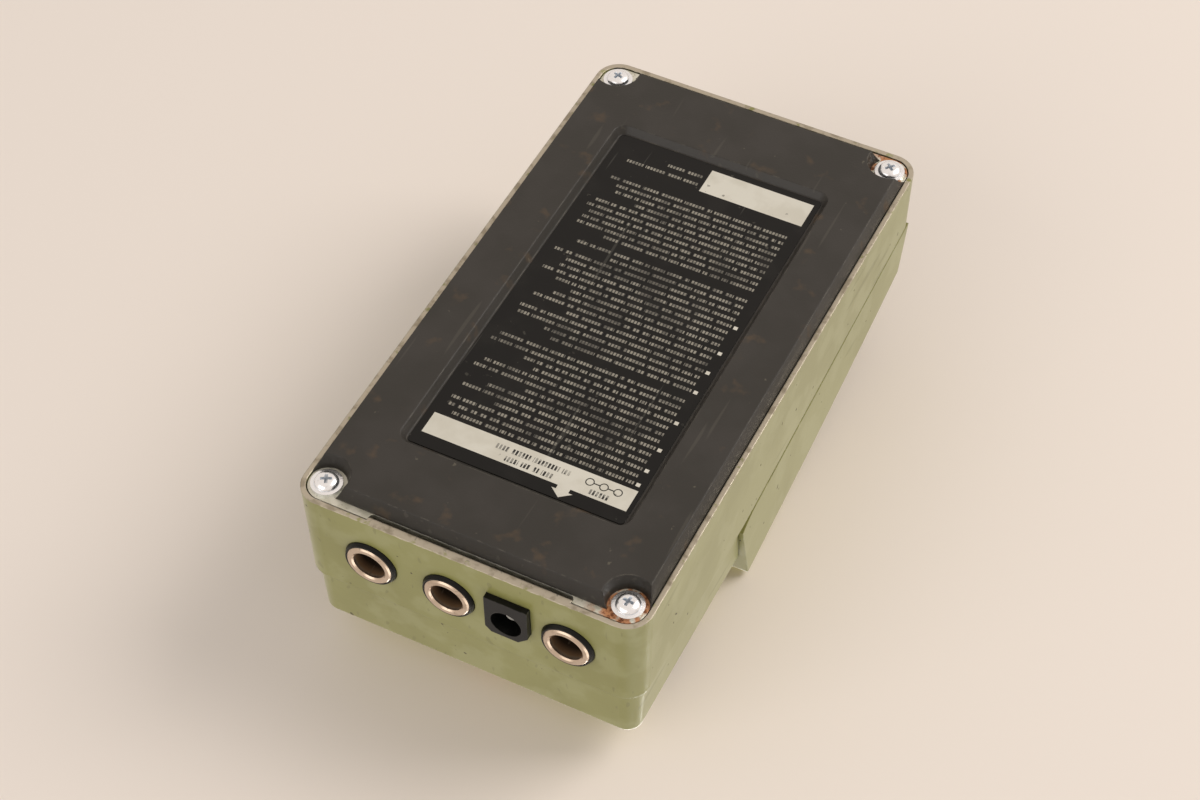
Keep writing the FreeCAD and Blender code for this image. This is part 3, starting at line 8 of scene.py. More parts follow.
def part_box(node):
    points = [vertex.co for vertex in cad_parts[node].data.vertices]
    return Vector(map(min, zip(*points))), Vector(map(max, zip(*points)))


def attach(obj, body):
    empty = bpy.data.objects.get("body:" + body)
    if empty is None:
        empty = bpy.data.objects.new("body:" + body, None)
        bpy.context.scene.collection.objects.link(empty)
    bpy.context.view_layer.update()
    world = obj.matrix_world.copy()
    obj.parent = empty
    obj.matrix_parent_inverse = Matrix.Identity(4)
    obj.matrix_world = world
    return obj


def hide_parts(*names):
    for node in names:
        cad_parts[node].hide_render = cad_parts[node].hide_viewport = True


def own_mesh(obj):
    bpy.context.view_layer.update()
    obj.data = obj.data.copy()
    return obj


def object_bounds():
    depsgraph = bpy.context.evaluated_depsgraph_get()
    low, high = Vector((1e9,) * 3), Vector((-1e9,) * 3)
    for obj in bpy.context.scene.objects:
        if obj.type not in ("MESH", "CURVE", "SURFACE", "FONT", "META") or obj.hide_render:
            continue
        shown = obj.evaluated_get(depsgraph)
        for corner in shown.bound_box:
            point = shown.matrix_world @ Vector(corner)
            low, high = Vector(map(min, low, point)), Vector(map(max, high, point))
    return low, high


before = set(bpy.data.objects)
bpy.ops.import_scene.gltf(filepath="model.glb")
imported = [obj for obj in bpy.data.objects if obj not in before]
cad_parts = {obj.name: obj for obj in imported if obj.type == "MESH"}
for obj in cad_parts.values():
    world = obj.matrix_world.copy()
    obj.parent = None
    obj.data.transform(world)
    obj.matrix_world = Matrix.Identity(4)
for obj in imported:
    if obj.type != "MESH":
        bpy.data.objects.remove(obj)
cad_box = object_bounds()

bl_info = {
    "name": "Delay pedal looks",
    "version": (1, 0, 0),
    "blender": (4, 5, 0),
    "location": "3D View > Sidebar > Delay pedal",
    "description": "Finishes, printed marks, fasteners and stage for the packed delay pedal",
    "category": "Object",
}

MM = 0.001
MERGE_DISTANCE = 0.005 * MM
ROUNDING_SAMPLES = 4
KNOBS = ("time", "repeat", "level", "range")


def linear(hex_colour):
    """Turns an sRGB colour such as "8f9064" into the three linear values that Blender mixes."""
    parts = [int(hex_colour[i:i + 2], 16) / 255 for i in (0, 2, 4)]
    return tuple(c / 12.92 if c <= 0.04045 else ((c + 0.055) / 1.055) ** 2.4 for c in parts)


def colour_setting(name, description, hex_colour):
    """A colour that the user can change."""
    return bpy.props.FloatVectorProperty(
        name=name, description=description, subtype="COLOR", size=3, min=0, max=1, default=linear(hex_colour))


def size_setting(name, description, millimetres):
    """A length that the user can change."""
    return bpy.props.FloatProperty(
        name=name, description=description, subtype="DISTANCE", unit="LENGTH", min=0, precision=5,
        default=millimetres * MM)


def power_setting(name, watts):
    """The power of a lamp, which the user can change."""
    return bpy.props.FloatProperty(name=name, description="Power", default=watts, unit="POWER", min=0)


class PedalColours(bpy.types.PropertyGroup):
    """Colours of the surfaces that show most."""

    enamel: colour_setting("Enamel", "Sage enamel on the housing and the treadle", "918d53")
    enamel_shade: colour_setting("Enamel shade", "Handled and darkened enamel", "827d48")
    bare_metal: colour_setting("Bare metal", "Die-cast metal where the enamel is gone", "b9b1a0")
    plate: colour_setting("Plate", "Plated sheet of the base", "c9c9ba")
    rust: colour_setting("Rust", "Rust round the screws", "b7743f")
    rubber: colour_setting("Rubber", "Moulded base cover", "2b2823")
    film: colour_setting("Film", "Glossy film let into the base cover", "090908")
    ink: colour_setting("Ink", "Cream ink on the film", "d6cfc0")
    nickel: colour_setting("Nickel", "Plated jack sleeves, nuts and shafts", "c4b29f")
    tarnish: colour_setting("Tarnish", "Brown inside of the jacks", "8a6742")
    knob: colour_setting("Knobs", "Moulded knobs", "1b1b1c")
    lens: colour_setting("Lens", "Indicator lens", "c8201a")


class PedalSizes(bpy.types.PropertyGroup):
    """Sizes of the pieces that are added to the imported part."""

    ink_thickness: size_setting("Ink thickness", "How far printed marks stand up", 0.03)
    row_pitch: size_setting("Row pitch", "From one printed row to the next", 1.76)
    row_height: size_setting("Row height", "Height of a printed row", 0.72)
    screw_flange: size_setting("Screw flange", "Radius of the screw's washer face", 3.0)
    screw_head: size_setting("Screw head", "Radius of the screw's domed head", 2.3)
    recess_width: size_setting("Recess width", "Width of one arm of the cross recess", 0.75)
    recess_reach: size_setting("Recess reach", "Length of the cross recess, tip to tip", 3.0)
    dial_tick: size_setting("Dial tick", "Length of a tick round a knob", 0.9)
    spring_wire: size_setting("Spring wire", "Diameter of the treadle spring's wire", 0.7)


class PedalStage(bpy.types.PropertyGroup):
    """Floor, lamps and camera."""

    floor: colour_setting("Floor", "Plain pale floor and backdrop", "efe2d7")
    sky: bpy.props.FloatProperty(name="Sky", description="Strength of the even light", default=0.53, min=0)
    key: power_setting("Photo lamp", 14.0)
    top: power_setting("Top lamp", 10.0)
    fill: power_setting("Fill lamps", 6.5)
    lens: bpy.props.FloatProperty(
        name="Lens", description="Focal length in millimetres", default=74.98, min=1)


def add_node(tree, kind, inputs, **settings):
    """Adds one shader node, sets its options, and fills or links its inputs by name or number."""
    made = tree.nodes.new("ShaderNode" + kind)
    for option, value in settings.items():
        setattr(made, option, value)
    for key, value in inputs.items():
        if isinstance(value, bpy.types.NodeSocket):
            tree.links.new(value, made.inputs[key])
        else:
            made.inputs[key].default_value = value
    return made


class Finish:
    """A material laid on in coats, in the order in which the real surface got them."""

    def __init__(self, name, colour, roughness, metallic=0.0, shader=None):
        self.material = bpy.data.materials.new(name)
        self.material.use_nodes = True
        self.tree = self.material.node_tree
        self.shader = self.tree.nodes["Principled BSDF"]
        self.place = self.node("TexCoord", {}).outputs["Object"]
        self.values = {"Base Color": (*colour, 1), "Roughness": roughness, "Metallic": metallic}
        self.normal = None
        for socket, value in (shader or {}).items():
            self.shader.inputs[socket].default_value = value

    def node(self, kind, inputs, **settings):
        """Adds a node to this material."""
        return add_node(self.tree, kind, inputs, **settings)

    def patches(self, size, low, high, stretch=(1, 1, 1), turn=0.0, detail=3.0, seed=0):
        """A mask of blotches about that size in metres, 0 where the noise is under low and 1 over high."""
        mapping = {"Vector": self.place, "Location": (seed, 0, 0), "Rotation": (0, 0, turn), "Scale": stretch}
        moved = self.node("Mapping", mapping).outputs[0]
        noise = self.node("TexNoise", {"Vector": moved, "Scale": 1 / size, "Detail": detail})
        limits = {"Value": noise.outputs[0], "From Min": low, "From Max": high}
        return self.node("MapRange", limits, interpolation_type="SMOOTHSTEP").outputs[0]

    def ramp(self, axis, start, end, ragged=0.0, size=MM):
        """A mask that goes from 0 to 1 between two places on an axis, its edge ragged by that much."""
        value = self.node("SeparateXYZ", {0: self.place}).outputs[axis]
        if ragged:
            noise = self.node("TexNoise", {"Vector": self.place, "Scale": 1 / size})
            offset = {0: noise.outputs[0], 1: 2 * ragged, 2: -ragged}
            moved = self.node("Math", offset, operation="MULTIPLY_ADD").outputs[0]
            value = self.node("Math", {0: value, 1: moved}).outputs[0]
        return self.node("MapRange", {0: value, 1: start, 2: end}).outputs[0]

    def near(self, point, full, reach):
        """A mask that is 1 up to one distance from a point and fades to 0 at another."""
        gap = self.node("VectorMath", {0: self.place, 1: point}, operation="DISTANCE")
        return self.node("MapRange", {0: gap.outputs["Value"], 1: full, 2: reach, 3: 1, 4: 0}).outputs[0]

    def ticks(self, pitch, gap):
        """A mask of upright ticks along X, one in each pitch, with a bare gap between two."""
        across = self.node("SeparateXYZ", {0: self.place}).outputs[0]
        counted = self.node("Math", {0: across, 1: 1 / pitch}, operation="MULTIPLY").outputs[0]
        within = self.node("Math", {0: counted}, operation="FRACT").outputs[0]
        return self.node("Math", {0: within, 1: gap / pitch}, operation="GREATER_THAN").outputs[0]

    def inside(self, low, high, blend=0.1 * MM):
        """A mask of the space between two corners."""
        middle, half = (low + high) / 2, (high - low) / 2
        moved = self.node("VectorMath", {0: self.place, 1: middle}, operation="SUBTRACT")
        away = self.node("VectorMath", {0: moved.outputs[0]}, operation="ABSOLUTE")
        room = self.node("VectorMath", {0: half, 1: away.outputs[0]}, operation="SUBTRACT")
        sides = self.node("SeparateXYZ", {0: room.outputs[0]}).outputs
        least = self.node("Math", {0: sides[0], 1: sides[1]}, operation="MINIMUM").outputs[0]
        least = self.node("Math", {0: least, 1: sides[2]}, operation="MINIMUM").outputs[0]
        return self.node("MapRange", {0: least, 1: 0, 2: blend}).outputs[0]

    def rounded(self, radius):
        """The surface's direction as it would be with its edges rounded."""
        return self.node("Bevel", {"Radius": radius}, samples=ROUNDING_SAMPLES).outputs[0]

    def edges(self, width, low=0.04, high=0.2):
        """A mask of the outer and inner edges, read from how far rounding them would turn the surface."""
        rounded = self.rounded(width)
        plain = self.node("NewGeometry", {}).outputs["Normal"]
        dot = self.node("VectorMath", {0: rounded, 1: plain}, operation="DOT_PRODUCT")
        return self.node("MapRange", {0: dot.outputs["Value"], 1: 1 - low, 2: 1 - high}).outputs[0]

    def hollows(self, reach, in_the_open=0.85, shut_in=0.5):
        """A mask of what the piece's own surfaces shut in within that reach, such as a recess."""
        occlusion = self.node("AmbientOcclusion", {"Distance": reach}, samples=8, only_local=True)
        return self.node("MapRange", {0: occlusion.outputs["AO"], 1: in_the_open, 2: shut_in}).outputs[0]

    def both(self, first, second):
        """Where both masks are on."""
        return self.node("Math", {0: first, 1: second}, operation="MULTIPLY").outputs[0]

    def coat(self, mask, share=1.0, **changes):
        """Changes colour, roughness or metallic where the mask is on."""
        names = {"colour": "Base Color", "roughness": "Roughness", "metallic": "Metallic"}
        if share < 1:
            mask = self.both(mask, share)
        for change, value in changes.items():
            socket = names[change]
            before = self.values[socket]
            if change == "colour":
                mixed = self.node("Mix", {0: mask, 6: before, 7: (*value, 1)}, data_type="RGBA").outputs[2]
            else:
                mixed = self.node("Mix", {0: mask, 2: before, 3: value}, data_type="FLOAT").outputs[0]
            self.values[socket] = mixed

    def soften(self, radius):
        """Rounds the sharp edges of the surface to the eye."""
        self.normal = self.rounded(radius)

    def relief(self, height, depth):
        """Stands the surface up where the height is 1, by that depth in metres."""
        inputs = {"Height": height, "Distance": depth}
        if self.normal:
            inputs["Normal"] = self.normal
        self.normal = self.node("Bump", inputs).outputs[0]

    def done(self):
        """Sets or links what the coats left and hands the material over."""
        for socket, value in self.values.items():
            if isinstance(value, bpy.types.NodeSocket):
                self.tree.links.new(value, self.shader.inputs[socket])
            else:
                self.shader.inputs[socket].default_value = value
        if self.normal:
            self.tree.links.new(self.normal, self.shader.inputs["Normal"])
        return self.material


def enamel(name, colours):
    """Stoved enamel over die-cast metal: glossy, mottled and rubbed dull by hands and shoes, with small
    dark chips, long scratches and bare metal along the sharpest edges. Its lighter mottling is random tone
    and partly a painted reflection of blotchy surroundings."""
    finish = Finish(name, colours.enamel, 0.28, shader={"Specular IOR Level": 0.4})
    finish.soften(0.3 * MM)
    finish.coat(finish.patches(30 * MM, 0.42, 0.62), 0.5, colour=colours.enamel_shade, roughness=0.34)
    # Lighter mottling: random tone in the enamel, and partly a painted reflection of blotchy surroundings in
    # the glossy walls.
    finish.coat(finish.patches(8 * MM, 0.46, 0.62, seed=3), 0.4, colour=linear("a4a072"), roughness=0.33)
    chips = finish.patches(1.2 * MM, 0.83, 0.86, detail=0, seed=5)
    finish.coat(chips, 0.8, colour=linear("3c3022"), roughness=0.6)
    scratches = finish.patches(1.2 * MM, 0.74, 0.8, stretch=(1, 0.06, 0.5), turn=0.9, detail=0, seed=8)
    finish.coat(scratches, 0.25, colour=linear("5d5839"), roughness=0.45)
    worn = finish.both(finish.edges(0.35 * MM), finish.patches(5 * MM, 0.61, 0.67, seed=12))
    finish.coat(worn, 0.4, colour=colours.bare_metal, roughness=0.42, metallic=0.7)
    return finish


def orange_peel(finish):
    """The last, shallow unevenness of the enamel."""
    finish.relief(finish.patches(1.6 * MM, 0, 1, detail=1, seed=30), 0.01 * MM)
    return finish.done()


def worn_enamel(colours):
    """The enamel of the treadle."""
    return orange_peel(enamel("worn_stoved_enamel", colours))


def housing_enamel(colours):
    """The same enamel on the housing, which is bare along its rim, and dark grey inside: unpainted cast metal
    with painted shade in the cavity and on its rim's step.
    """
    low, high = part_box("housing")
    rim, side_wall = low.z, 2.3 * MM
    finish = enamel("worn_housing_enamel", colours)
    # The cavity and the inner face of the rim's step turn dark grey: unpainted metal, darkened further as
    # painted shade.
    for end_wall, height in ((1.5 * MM, 12 * MM), (0.93 * MM, 1.5 * MM)):  # the cavity, then its rim's step
        first = low + Vector((side_wall, end_wall, -MM))
        last = Vector((high.x - side_wall, high.y - end_wall, rim + height))
        finish.coat(finish.inside(first, last), colour=linear("4b463d"), roughness=0.6, metallic=0.3)
    bare = finish.ramp(2, rim + 0.14 * MM, rim + 0.07 * MM, ragged=0.3 * MM, size=1.6 * MM)
    finish.coat(bare, colour=colours.bare_metal, roughness=0.36, metallic=0.85)
    dull = finish.both(bare, finish.patches(2.4 * MM, 0.5, 0.66, seed=21))
    finish.coat(dull, 0.6, colour=linear("857b68"), roughness=0.55)
    return orange_peel(finish)


def plated_sheet(colours):
    """Zinc-plated steel sheet, passivated: pale and dull, with white bloom, and rust round two screws."""
    low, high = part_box("base_screws")
    inset = bpy.context.scene.pedal_sizes.screw_flange
    level = 3 * MM
    finish = Finish("passivated_zinc_plate", colours.plate, 0.4, metallic=0.9)
    finish.soften(0.2 * MM)
    finish.coat(finish.patches(3 * MM, 0.45, 0.6), 0.5, colour=linear("e3e2d8"), roughness=0.6)
    finish.coat(finish.patches(0.9 * MM, 0.6, 0.7, seed=4), 0.5, colour=linear("8c8676"), roughness=0.55)
    for y in (high.y - inset, low.y + inset):
        around = finish.near((high.x - inset, y, level), 4.2 * MM, 8 * MM)
        rusty = finish.both(around, finish.patches(1.8 * MM, 0.36, 0.5, seed=9))
        finish.coat(rusty, 0.9, colour=colours.rust, roughness=0.85, metallic=0.1)
        finish.coat(finish.both(rusty, finish.patches(0.7 * MM, 0.5, 0.62, seed=17)), colour=linear("7c4a2a"))
    finish.relief(finish.patches(0.7 * MM, 0, 1, seed=13), 0.02 * MM)
    return finish.done()


def moulded_rubber(colours):
    """Nitrile rubber, moulded: brown-black and satin, with dry stains, grey scuffs and rubbed edges."""
    finish = Finish("moulded_nitrile_rubber", colours.rubber, 0.42, shader={"Specular IOR Level": 0.4})
    finish.soften(0.4 * MM)
    finish.coat(finish.patches(14 * MM, 0.4, 0.65), 0.5, colour=linear("383430"), roughness=0.48)
    finish.coat(finish.patches(6 * MM, 0.6, 0.72, seed=2), 0.5, colour=linear("55432f"), roughness=0.62)
    finish.coat(finish.patches(2.4 * MM, 0.71, 0.75, seed=16), 0.5, colour=linear("6b6455"), roughness=0.7)
    scuffs = finish.patches(1.4 * MM, 0.76, 0.82, stretch=(1, 0.06, 1), turn=0.6, detail=0, seed=6)
    finish.coat(scuffs, 0.15, colour=linear("6d675b"), roughness=0.6)
    rubbed = finish.both(finish.edges(0.4 * MM), finish.patches(3 * MM, 0.5, 0.62, seed=11))
    finish.coat(rubbed, 0.45, colour=linear("8a8272"), roughness=0.55)
    finish.relief(finish.patches(0.5 * MM, 0, 1, seed=20), 0.015 * MM)
    return finish.done()


def gloss_film(colours):
    """Polyester label film: glossy black, rubbed dull in places and crossed by hair scratches."""
    finish = Finish("gloss_polyester_film", colours.film, 0.2, shader={"Specular IOR Level": 0.25})
    finish.coat(finish.patches(9 * MM, 0.52, 0.7), 0.5, colour=linear("191815"), roughness=0.34)
    finish.coat(finish.patches(2 * MM, 0.7, 0.76, seed=5), 0.4, colour=linear("57534a"), roughness=0.5)
    hairs = finish.patches(0.9 * MM, 0.8, 0.84, stretch=(1, 0.04, 1), turn=0.7, detail=0, seed=7)
    finish.coat(hairs, 0.14, colour=linear("7d796f"), roughness=0.45)
    finish.relief(finish.patches(6 * MM, 0, 1, detail=1, seed=12), 0.06 * MM)
    return finish.done()


def cream_ink(colours):
    """Screen-printed cream ink: flat and matt, rubbed thin by handling."""
    finish = Finish("screen_printed_ink", colours.ink, 0.5)
    finish.coat(finish.patches(6 * MM, 0.45, 0.65), 0.35, colour=linear("b9b09d"))
    finish.coat(finish.patches(1.2 * MM, 0.7, 0.74, seed=4), 0.7, colour=linear("57534a"), roughness=0.35)
    return finish.done()


def fine_print(name, ground, ink):
    """Screen-printed rows of plain upright ticks: ink that stands out from its ground, rubbed thin in places.
    The ticks are as coarse as they have to be to show in the render."""
    finish = Finish(name, ground, 0.3)
    finish.coat(finish.ticks(0.66 * MM, 0.24 * MM), colour=ink, roughness=0.5)
    finish.coat(finish.patches(1.1 * MM, 0.5, 0.6, detail=1, seed=9), 0.45, colour=ground)
    finish.coat(finish.patches(7 * MM, 0.48, 0.66, seed=6), 0.6, colour=ground)
    return finish.done()


def faded_rows(colours):
    """Screen-printed rows of cream ink on the black film."""
    return fine_print("rubbed_row_print", colours.film, linear("938c7e"))


def dark_rows(colours):
    """Rows of ticks that the cream ink of the band leaves open, where the black film shows."""
    return fine_print("band_row_print", colours.ink, colours.film)


def nickel_tarnish_and_painted_shade(colours):
    """Nickel plate on turned brass: bright at the mouth of the jack, brown with tarnish and dull down the
    bore, and near black further in as painted shade.
    """
    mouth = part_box("output_jack_sleeve")[1].y
    finish = Finish("tarnished_nickel_plate", colours.nickel, 0.28, metallic=1.0)
    finish.coat(finish.patches(2 * MM, 0.5, 0.66), 0.4, colour=linear("9c8a76"), roughness=0.36)
    deep = finish.ramp(1, mouth - 0.3 * MM, mouth - 1.2 * MM, ragged=0.3 * MM)
    finish.coat(deep, 0.9, colour=colours.tarnish, roughness=0.5, metallic=0.4)
    # Painted shade: the bore turns near black further in, where light does not reach.
    painted_shade_deep_in_bore = finish.ramp(1, mouth - 0.8 * MM, mouth - 2.8 * MM)
    finish.coat(painted_shade_deep_in_bore, 0.9, colour=linear("1c130d"), roughness=0.6)
    marks = finish.patches(0.5 * MM, 0.66, 0.72, stretch=(1, 0.2, 1), detail=1, seed=3)
    finish.coat(marks, 0.5, colour=linear("6f6253"), roughness=0.5)
    return finish.done()


def dull_pin(colours):
    """Tinned brass of the power socket's pin: pale and matt, so that it shows in its dark hole."""
    finish = Finish("tinned_brass_pin", linear("c5c1b8"), 0.45, metallic=0.3)
    finish.coat(finish.patches(0.8 * MM, 0.5, 0.7), 0.4, colour=linear("98928a"), roughness=0.55)
    return finish.done()


def bright_plate(colours):
    """Nickel plate on turned or pressed brass: bright, with fine handling marks."""
    finish = Finish("nickel_plate", colours.nickel, 0.2, metallic=1.0)
    finish.coat(finish.patches(1.5 * MM, 0.5, 0.68), 0.4, colour=linear("a89a89"), roughness=0.34)
    finish.relief(finish.patches(0.8 * MM, 0, 1, stretch=(1, 1, 0.1), seed=6), 0.008 * MM)
    return finish.done()


def plated_screw(colours):
    """Bright zinc on a cold-headed screw: white, with specks of rust, and dull with a bluish-grey painted
    shade in the recess.
    """
    finish = Finish("bright_zinc_screw", linear("f3f6fa"), 0.26, metallic=1.0)
    finish.coat(finish.patches(0.9 * MM, 0.58, 0.72), 0.4, colour=linear("c9cbcd"), roughness=0.36)
    specks = finish.patches(0.5 * MM, 0.74, 0.78, seed=8)
    finish.coat(specks, 0.8, colour=linear("7a5a3c"), roughness=0.7, metallic=0.3)
    # Painted shade: bluish grey laid where the screw's own surfaces shut in the cross recess.
    finish.coat(finish.hollows(1.2 * MM), 0.5, colour=linear("9ca6b0"), roughness=0.45, metallic=0.8)
    finish.relief(finish.patches(0.4 * MM, 0, 1, seed=15), 0.02 * MM)
    return finish.done()


def black_moulding(colours):
    """Glass-filled nylon, moulded: black with a soft sheen, its edges rubbed grey."""
    finish = Finish("moulded_black_nylon", linear("0d0d0c"), 0.36, shader={"Specular IOR Level": 0.2})
    finish.soften(0.15 * MM)
    finish.coat(finish.patches(4 * MM, 0.5, 0.7), 0.4, colour=linear("24231f"), roughness=0.48)
    rubbed = finish.both(finish.edges(0.25 * MM), finish.patches(1.5 * MM, 0.4, 0.6, seed=4))
    finish.coat(rubbed, 0.4, colour=linear("7a776e"), roughness=0.5)
    finish.relief(finish.patches(0.35 * MM, 0, 1, seed=9), 0.008 * MM)
    return finish.done()


def knob_moulding(colours):
    """ABS, moulded: near black and satin, its edges polished by fingers."""
    finish = Finish("moulded_abs", colours.knob, 0.36)
    finish.soften(0.15 * MM)
    finish.coat(finish.patches(3 * MM, 0.5, 0.7), 0.4, colour=linear("2a2a2a"), roughness=0.46)
    finish.coat(finish.edges(0.3 * MM), 0.4, roughness=0.2)
    finish.relief(finish.patches(0.3 * MM, 0, 1, seed=9), 0.006 * MM)
    return finish.done()


def phenolic_board(colours):
    """Paper phenolic board: tan, its grain just visible, with solder in bright dots."""
    finish = Finish("paper_phenolic_board", linear("9a7338"), 0.45)
    finish.coat(finish.patches(2 * MM, 0.4, 0.7, stretch=(1, 0.2, 1)), 0.5, colour=linear("7d5a28"))
    solder = finish.patches(1.4 * MM, 0.66, 0.7, detail=0, seed=6)
    finish.coat(solder, colour=linear("b9b7ae"), roughness=0.3, metallic=0.9)
    return finish.done()


def moulded_epoxy(colours):
    """Moulded epoxy of chips and switches: dark grey and matt, with a fine grain."""
    finish = Finish("moulded_epoxy", linear("2b2b2d"), 0.55)
    finish.coat(finish.patches(1 * MM, 0.45, 0.7), 0.5, colour=linear("3c3c3e"))
    finish.relief(finish.patches(0.2 * MM, 0, 1, seed=2), 0.01 * MM)
    return finish.done()


def shrink_sleeve(colours):
    """PVC shrink sleeve of a capacitor: dark blue and glossy, pulled slightly uneven, the can's end bare."""
    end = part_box("board_capacitors")[0].z
    finish = Finish("pvc_shrink_sleeve", linear("22355f"), 0.25)
    bare = finish.ramp(2, end + 1.2 * MM, end + MM)
    finish.coat(bare, colour=linear("b8b6b0"), roughness=0.35, metallic=0.9)
    finish.relief(finish.patches(2 * MM, 0, 1, seed=2), 0.05 * MM)
    return finish.done()


def sprung_brass(colours):
    """Rolled brass of the contacts: yellow, brushed along its length."""
    finish = Finish("rolled_brass", linear("c9a453"), 0.3, metallic=1.0)
    brushed = finish.patches(1 * MM, 0.5, 0.7, stretch=(1, 0.1, 1))
    finish.coat(brushed, 0.5, colour=linear("93733a"), roughness=0.45)
    return finish.done()


def painted_can(colours):
    """Lacquered steel can of the battery: a plain pale body with a dark end, lightly scuffed."""
    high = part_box("battery")[1]
    finish = Finish("lacquered_steel_can", linear("3a3d42"), 0.35, metallic=0.4)
    seam = high.x - 12 * MM
    finish.coat(finish.ramp(0, seam, seam - 0.1 * MM), colour=linear("b3aa97"), roughness=0.32)
    finish.coat(finish.patches(3 * MM, 0.6, 0.7, seed=3), 0.4, colour=linear("6d6a64"), roughness=0.5)
    return finish.done()


def open_foam(colours):
    """Open-cell polyurethane foam: grey and matt, full of small pores."""
    finish = Finish("open_cell_foam", linear("5c5b58"), 0.95)
    pores = finish.patches(0.7 * MM, 0.4, 0.6, detail=1)
    finish.coat(pores, colour=linear("3b3a38"))
    finish.relief(pores, 0.25 * MM)
    return finish.done()


def drawn_steel(colours):
    """Drawn spring steel: bright and smooth, with faint drawing lines and thin oil."""
    finish = Finish("drawn_spring_steel", linear("b9b6b0"), 0.25, metallic=1.0)
    finish.coat(finish.patches(1 * MM, 0.5, 0.7), 0.5, colour=linear("857d70"), roughness=0.4)
    return finish.done()


def clear_lens(colours):
    """Tinted epoxy lens of the indicator: clear red, glossy, slightly cloudy."""
    finish = Finish("tinted_epoxy_lens", colours.lens, 0.1, shader={"IOR": 1.53, "Transmission Weight": 0.55})
    finish.coat(finish.patches(1.5 * MM, 0.4, 0.7), 0.4, colour=linear("9c1712"), roughness=0.2)
    return finish.done()


def pressed_paper(colours):
    """Vulcanised fibre sheet of the insulator: grey-brown, with a felted grain."""
    finish = Finish("vulcanised_fibre", linear("857f6f"), 0.7)
    finish.coat(finish.patches(1.2 * MM, 0.4, 0.7), 0.5, colour=linear("6d6758"))
    finish.relief(finish.patches(0.6 * MM, 0, 1, seed=3), 0.02 * MM)
    return finish.done()


SLOT_FINISHES = {
    "green_enamel": worn_enamel,
    "base_steel": plated_sheet,
    "black_rubber": moulded_rubber,
    "label_film": gloss_film,
    "bright_nickel": bright_plate,
    "screw_steel": plated_screw,
    "black_plastic": black_moulding,
    "knob_plastic": knob_moulding,
    "circuit_board": phenolic_board,
    "component_black": moulded_epoxy,
    "capacitor_sleeve": shrink_sleeve,
    "contact_brass": sprung_brass,
    "battery_steel": painted_can,
    "foam_grey": open_foam,
    "spring_steel": drawn_steel,
    "red_lens": clear_lens,
    "fish_paper": pressed_paper,
}
OWN_FINISHES = {"housing": housing_enamel, "sleeve": nickel_tarnish_and_painted_shade, "dc_socket_pin": dull_pin}
made_finishes = {}


def finish_of(maker):
    """The material that a maker lays on, made once."""
    if maker not in made_finishes:
        made_finishes[maker] = maker(bpy.context.scene.pedal_colours)
    return made_finishes[maker]


def deselect():
    """Leaves edit mode and selects nothing."""
    if bpy.context.mode != "OBJECT":
        bpy.ops.object.mode_set(mode="OBJECT")
    bpy.ops.object.select_all(action="DESELECT")


def hold(piece):
    """Makes the piece the only one selected."""
    deselect()
    piece.select_set(True)
    bpy.context.view_layer.objects.active = piece


def edit_all(piece):
    """Opens the piece in edit mode with everything selected."""
    hold(piece)
    bpy.ops.object.mode_set(mode="EDIT")
    bpy.ops.mesh.select_all(action="SELECT")


def close_outwards():
    """In edit mode, turns every face outwards, and leaves edit mode."""
    bpy.ops.mesh.select_all(action="SELECT")
    bpy.ops.mesh.normals_make_consistent(inside=False)
    bpy.ops.object.mode_set(mode="OBJECT")


def start(name, add, **settings):
    """Adds a primitive, names it and puts its place in its mesh."""
    deselect()
    add(**settings)
    piece = bpy.context.active_object
    piece.name = name
    piece.data.name = name
    bpy.ops.object.transform_apply(location=True, rotation=True, scale=True)
    return piece


def copy_node(node, name):
    """A new piece with a copy of a node's mesh, its corners merged and its flat faces made whole."""
    piece = bpy.data.objects.new(name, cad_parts[node].data.copy())
    piece.data.name = name
    bpy.context.collection.objects.link(piece)
    edit_all(piece)
    bpy.ops.mesh.remove_doubles(threshold=MERGE_DISTANCE)
    bpy.ops.mesh.dissolve_limited(angle_limit=math.radians(0.5))
    close_outwards()
    return piece


def faces_up(normal):
    return normal.z > 0.9


def faces_down(normal):
    return normal.z < -0.9


def any_face(normal):
    return True


def pick(piece, test):
    """In edit mode, selects only the faces whose normal passes the test."""
    hold(piece)
    bpy.ops.object.mode_set(mode="EDIT")
    bpy.ops.mesh.select_mode(type="FACE")
    bpy.ops.mesh.select_all(action="DESELECT")
    bpy.ops.object.mode_set(mode="OBJECT")
    for face in piece.data.polygons:
        face.select = test(face.normal)
    bpy.ops.object.mode_set(mode="EDIT")


def push(shift):
    """Extrudes what is selected by that much."""
    bpy.ops.mesh.extrude_region_move(TRANSFORM_OT_translate={"value": shift})


def apply_modifier(piece, kind, **settings):
    """Adds a modifier to the piece and applies it."""
    hold(piece)
    modifier = piece.modifiers.new(kind.lower(), kind)
    for option, value in settings.items():
        setattr(modifier, option, value)
    bpy.ops.object.modifier_apply(modifier=modifier.name)


def copy_piece(piece, name, matrix):
    """A copy of the piece with a mesh of its own, moved there."""
    copy = piece.copy()
    copy.data = piece.data.copy()
    copy.name = name
    copy.data.name = name
    bpy.context.collection.objects.link(copy)
    copy.data.transform(matrix)
    return copy


def join(name, pieces):
    """Joins the pieces into one."""
    hold(pieces[0])
    for piece in pieces:
        piece.select_set(True)
    bpy.ops.object.join()
    pieces[0].name = name
    pieces[0].data.name = name
    return pieces[0]


def discard(*patterns):
    """Removes pieces that only served to make others."""
    for pattern in patterns:
        bpy.data.objects.remove(pattern)


def smooth(piece, degrees=35):
    """Shades the piece smooth, apart from its edges that are sharper than that."""
    hold(piece)
    bpy.ops.object.shade_smooth_by_angle(angle=math.radians(degrees))


